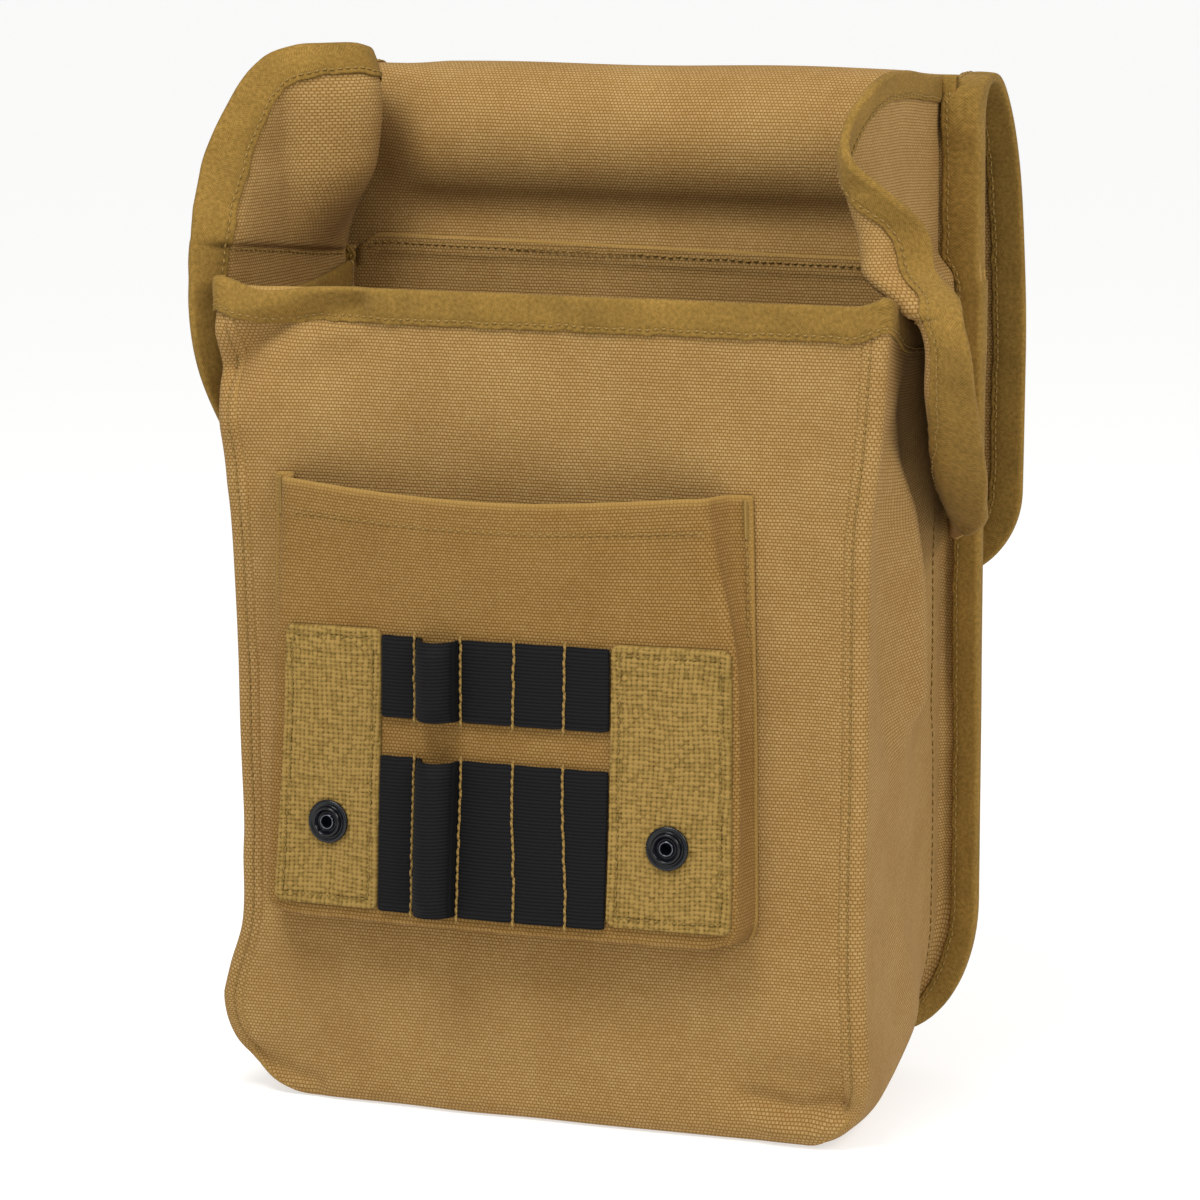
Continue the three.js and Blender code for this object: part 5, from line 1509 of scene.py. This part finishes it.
def stud_piece(name, patch):
    x, step = patch["snap"], 3
    slope_x = (pocket_face_y(x + step, SNAP_Z) - pocket_face_y(x - step, SNAP_Z)) / (2 * step)
    slope_z = (pocket_face_y(x, SNAP_Z + step) - pocket_face_y(x, SNAP_Z - step)) / (2 * step)
    outward = unit(np.array([float(slope_x), -1.0, float(slope_z)]))
    across = unit(np.cross(outward, [0, 0, 1]))
    up = np.cross(across, outward)
    face = np.array([x, float(pocket_face_y(x, SNAP_Z)), SNAP_Z])
    foot = face + outward * (PATCH_LIFT + WEBBING - STUD_SINKS)
    angle = np.arange(STUD_SIDES) * math.tau / STUD_SIDES
    rings = []
    for row, (radius, height) in enumerate(STUD):
        milled = MILLING * np.cos(angle * STUD_SIDES / 3) if row in MILLED_ROWS else 0
        r = radius + milled
        turned = across * (np.cos(angle) * r)[:, None] + up * (np.sin(angle) * r)[:, None]
        rings.append(foot + outward * (height + STUD_FOOT) + turned)
    rings = np.stack(rings)
    row = np.arange(len(STUD))
    # The lip's grey metal is partly a painted highlight, and the hole's missing reflection is painted shade
    lip_highlight_and_hole_shade = np.repeat(np.isin(row, RUBBED_HIGHLIGHT_ROWS) * 1.0 - np.isin(row, HOLE_SHADE_ROWS), STUD_SIDES)
    return bar("stud_" + name, rings, stud_enamel, name, lip_highlight_and_hole_shade)


for name, patch in PATCHES.items():
    snap_name = name.replace("patch", "snap")
    stud_piece(snap_name, patch)


# Stitching

def on_front(x, z, lift):
    y = front_y(x, z) - lift
    return np.stack([x, y, z], -1)


def facing_front(line):
    return np.tile([0.0, -1.0, 0.0], (len(line), 1))


lap_line = lap_corner(AROUND, HEIGHT, lap_width(AROUND) * 0.62, LAP_SINK * 0.7) - [0, CANVAS / 2, 0]
lap_line = lap_line[(lap_line[:, 2] < HEIGHT - TAPE_REACH - 1.5) & (at_base(AROUND) < 0.85)]
lap_lines = [lap_line[lap_line[:, 0] < 0], lap_line[lap_line[:, 0] > 0]]
lap_rows = [stitch_row(line, facing_front(line), LONG_PITCH, STRAY, 1) for line in lap_lines]
inner_wall = wall_point(AROUND, np.full(len(AROUND), 0.9))
seam_normal = outline_normal(BACK_EDGE, AROUND, HEIGHT)
wall_normal = np.stack([seam_normal[:, 0], 0 * AROUND, seam_normal[:, 1]], -1)
on_wall = (inner_wall[:, 2] > 8) & (inner_wall[:, 2] < 250)
wall_line = inner_wall + wall_normal * CANVAS / 2
wall_rows = []
for hand in (AROUND < OUTLINE_END / 2, AROUND > OUTLINE_END / 2):
    kept = on_wall & hand
    wall_rows.append(stitch_row(wall_line[kept], wall_normal[kept], LONG_PITCH, STRAY, 2))
body_stitching = stitching("thread_body", lap_rows + wall_rows + tape_rows(mouth_rings, 3),
                           THREAD, thread_cotton)


def pocket_rows():
    rows = []
    share = np.linspace(0.01, 1.03, 90)
    z = POCKET_TOP - HEM - POCKET_SAG * np.sin(math.pi * np.clip(share, 0, 1)) * 0.7
    x = mix(face_left(z), face_right(z), share)
    hem_line = np.stack([x, pocket_face_y(x, z) - CANVAS / 2, z], -1)
    rows.append(stitch_row(hem_line, facing_front(hem_line), PITCH, STRAY, 5))
    z = np.linspace(POCKET_TOP - 0.5, POCKET_FOOT, 80)
    lift = POCKET_STAND + CANVAS / 2
    left = on_front(flange_left(z) + 1.5, z, lift)
    right = on_front(flange_right(z) - 1.5, z, lift)
    for i, line in enumerate((left, right)):
        rows.append(stitch_row(line, facing_front(line), PITCH, STRAY, 6 + i))
    for edge, sign in ((flange_left, 1), (flange_right, -1)):
        z = np.linspace(POCKET_TOP - 13, POCKET_TOP - 1, 34)
        x = edge(z) + sign * (1.6 + 1.1 * np.where(np.arange(34) % 2, 1, -1))
        tack = on_front(x, z, lift + 0.1)
        rows.append(stitch_row(tack, facing_front(tack), 2.2, 0, 9))
    return rows


pocket_stitching = stitching("thread_pocket", pocket_rows(), THREAD, thread_cotton)


def patch_rows(patch, seed):
    inset = PATCH_SEWN_IN
    left, right = patch["left"] + inset, patch["right"] - inset
    bottom, top = patch["bottom"] + inset, patch["top"] - inset
    loop = np.array([(left, bottom), (right, bottom), (right, top), (left, top), (left, bottom)])
    flat = respaced(loop, 1.0)
    lift = PATCH_LIFT + WEBBING - 0.75
    x, z = flat.T
    x = patch_x(patch, x, z)
    line = np.stack([x, pocket_face_y(x, z) - lift, z], -1)
    return stitch_row(line, facing_front(line), 3.0, 0.12, seed)


patch_stitching = stitching("thread_patches", [patch_rows(p, 20 + i) for i, p in enumerate(PATCHES.values())],
                            0.6, thread_olive)


def elastic_rows():
    rows = []
    for bottom, top in ELASTICS.values():
        for i, x in enumerate(ELASTIC_ROWS):
            z = np.linspace(bottom - 1.8, top + 1.6, 60)
            lift = ELASTIC_LIFT + ELASTIC - 0.1
            line = np.stack([x + elastic_drift(x, z), pocket_face_y(x + 0 * z, z) - lift, z], -1)
            rows.append(stitch_row(line, facing_front(line), 2.6, 0.1, 30 + i))
    return rows


elastic_stitching = stitching("thread_elastic", elastic_rows(), 0.85, thread_cotton, 0.15, 0.3)

for i, name in enumerate(EARS):
    ear_thread = tape_rows(ear_rings[name], 40 + 2 * i)
    ear = ear_stance(name)
    run = np.linspace(4, ear["scale"] * ear_front(261.0) - TAPE_REACH, 70)
    below = ear_lip_at(ear, run) - 2.8
    seam = ear_point(ear, run, below)
    normal = ear["side"] * cloth_normal(lambda r, z: ear_point(ear, r, z), np.stack([run, below - 0.6], -1))
    for sign in (1, -1):
        ear_line = seam + sign * normal * CANVAS / 2
        ear_thread.append(stitch_row(ear_line, sign * normal, LONG_PITCH, STRAY, 50 + i))
    stitching("thread_" + name, ear_thread, THREAD, thread_cotton)

across = np.linspace(0.02, 0.98, 90)
back_line = np.stack([
    mix(-BACK_HALF_WIDTH - BACK_LEFT_SPREAD, BACK_HALF_WIDTH, across),
    np.full(90, SEAM_Y + LAYER - CANVAS / 2 - BACK_HEM),
    BACK_TOP + back_lift(across) - 2.4,
], -1)
flap_stitching = stitching(
    "thread_flap_and_seam",
    tape_rows(flap_rings, 60) + tape_rows(seam_rings, 62)
    + [stitch_row(back_line, facing_front(back_line), PITCH, STRAY, 64)],
    THREAD, thread_cotton)


# The ears' stances, worked out again and left unused


for name in EARS:
    ear = ear_stance(name)


# Floor, light and camera

def stage_floor():
    mesh = bpy.data.meshes.new("floor")
    far = 30.0
    mesh.from_pydata([(-far, -far, 0), (far, -far, 0), (far, far, 0), (-far, far, 0)], [], [(0, 1, 2, 3)])
    floor = bpy.data.objects.new("floor", mesh)
    bpy.context.scene.collection.objects.link(floor)
    material, tree, shader = start_material("pale_floor")
    set_inputs(tree, shader, {
        "Base Color": linear("#C3C3C1"), "Roughness": 0.9,
        "Emission Color": linear("#FFFFFF"), "Emission Strength": 0.6,
    })
    mesh.materials.append(material)


def soft_light(name, place, aim, size, power, colour):
    light = bpy.data.lights.new(name, "AREA")
    light.shape, light.size, light.energy = "DISK", size, power
    light.color = linear(colour)[:3]
    lamp = bpy.data.objects.new(name, light)
    bpy.context.scene.collection.objects.link(lamp)
    lamp.location = place
    lamp.rotation_euler = (Vector(aim) - lamp.location).to_track_quat("-Z", "Y").to_euler()


stage_floor()
soft_light("key_light", (1.35, -0.55, 1.25), (0, 0, 0.15), 0.9, 13, "#FFFAF4")
soft_light("front_light", (-0.3, -1.5, 0.9), (0, 0, 0.2), 1.0, 1, "#FFFFFF")
soft_light("top_light", (-0.1, -0.58, 1.08), (0, 0, 0.27), 0.5, 7.6, "#FFFFFF")
world = bpy.data.worlds.new("studio")
bpy.context.scene.world = world
world.use_nodes = True
world.node_tree.nodes["Background"].inputs["Color"].default_value = linear("#FFFFFF")
world.node_tree.nodes["Background"].inputs["Strength"].default_value = 0.6
bpy.context.scene.view_settings.view_transform = "Standard"

CAMERA_AZIMUTH = math.radians(21.2)
CAMERA_ELEVATION = math.radians(9.26)
CAMERA_DISTANCE = 1613.3
CAMERA_AIM = (0.5, 160.9)
FOCAL_SHARE = 4963.6 / 1200
SENSOR = 36
camera_data = bpy.data.cameras.new("camera")
camera_data.sensor_width = SENSOR
camera_data.lens = FOCAL_SHARE * SENSOR
camera = bpy.data.objects.new("camera", camera_data)
bpy.context.scene.collection.objects.link(camera)
back_way = Vector((
    math.sin(CAMERA_AZIMUTH) * math.cos(CAMERA_ELEVATION),
    -math.cos(CAMERA_AZIMUTH) * math.cos(CAMERA_ELEVATION),
    math.sin(CAMERA_ELEVATION),
))
sideways = Vector((math.cos(CAMERA_AZIMUTH), math.sin(CAMERA_AZIMUTH), 0))
aim = sideways * CAMERA_AIM[0] + Vector((0, 0, CAMERA_AIM[1]))
camera.location = (aim + back_way * CAMERA_DISTANCE) * MM
camera.rotation_euler = (-back_way).to_track_quat("-Z", "Y").to_euler()
bpy.context.scene.camera = camera
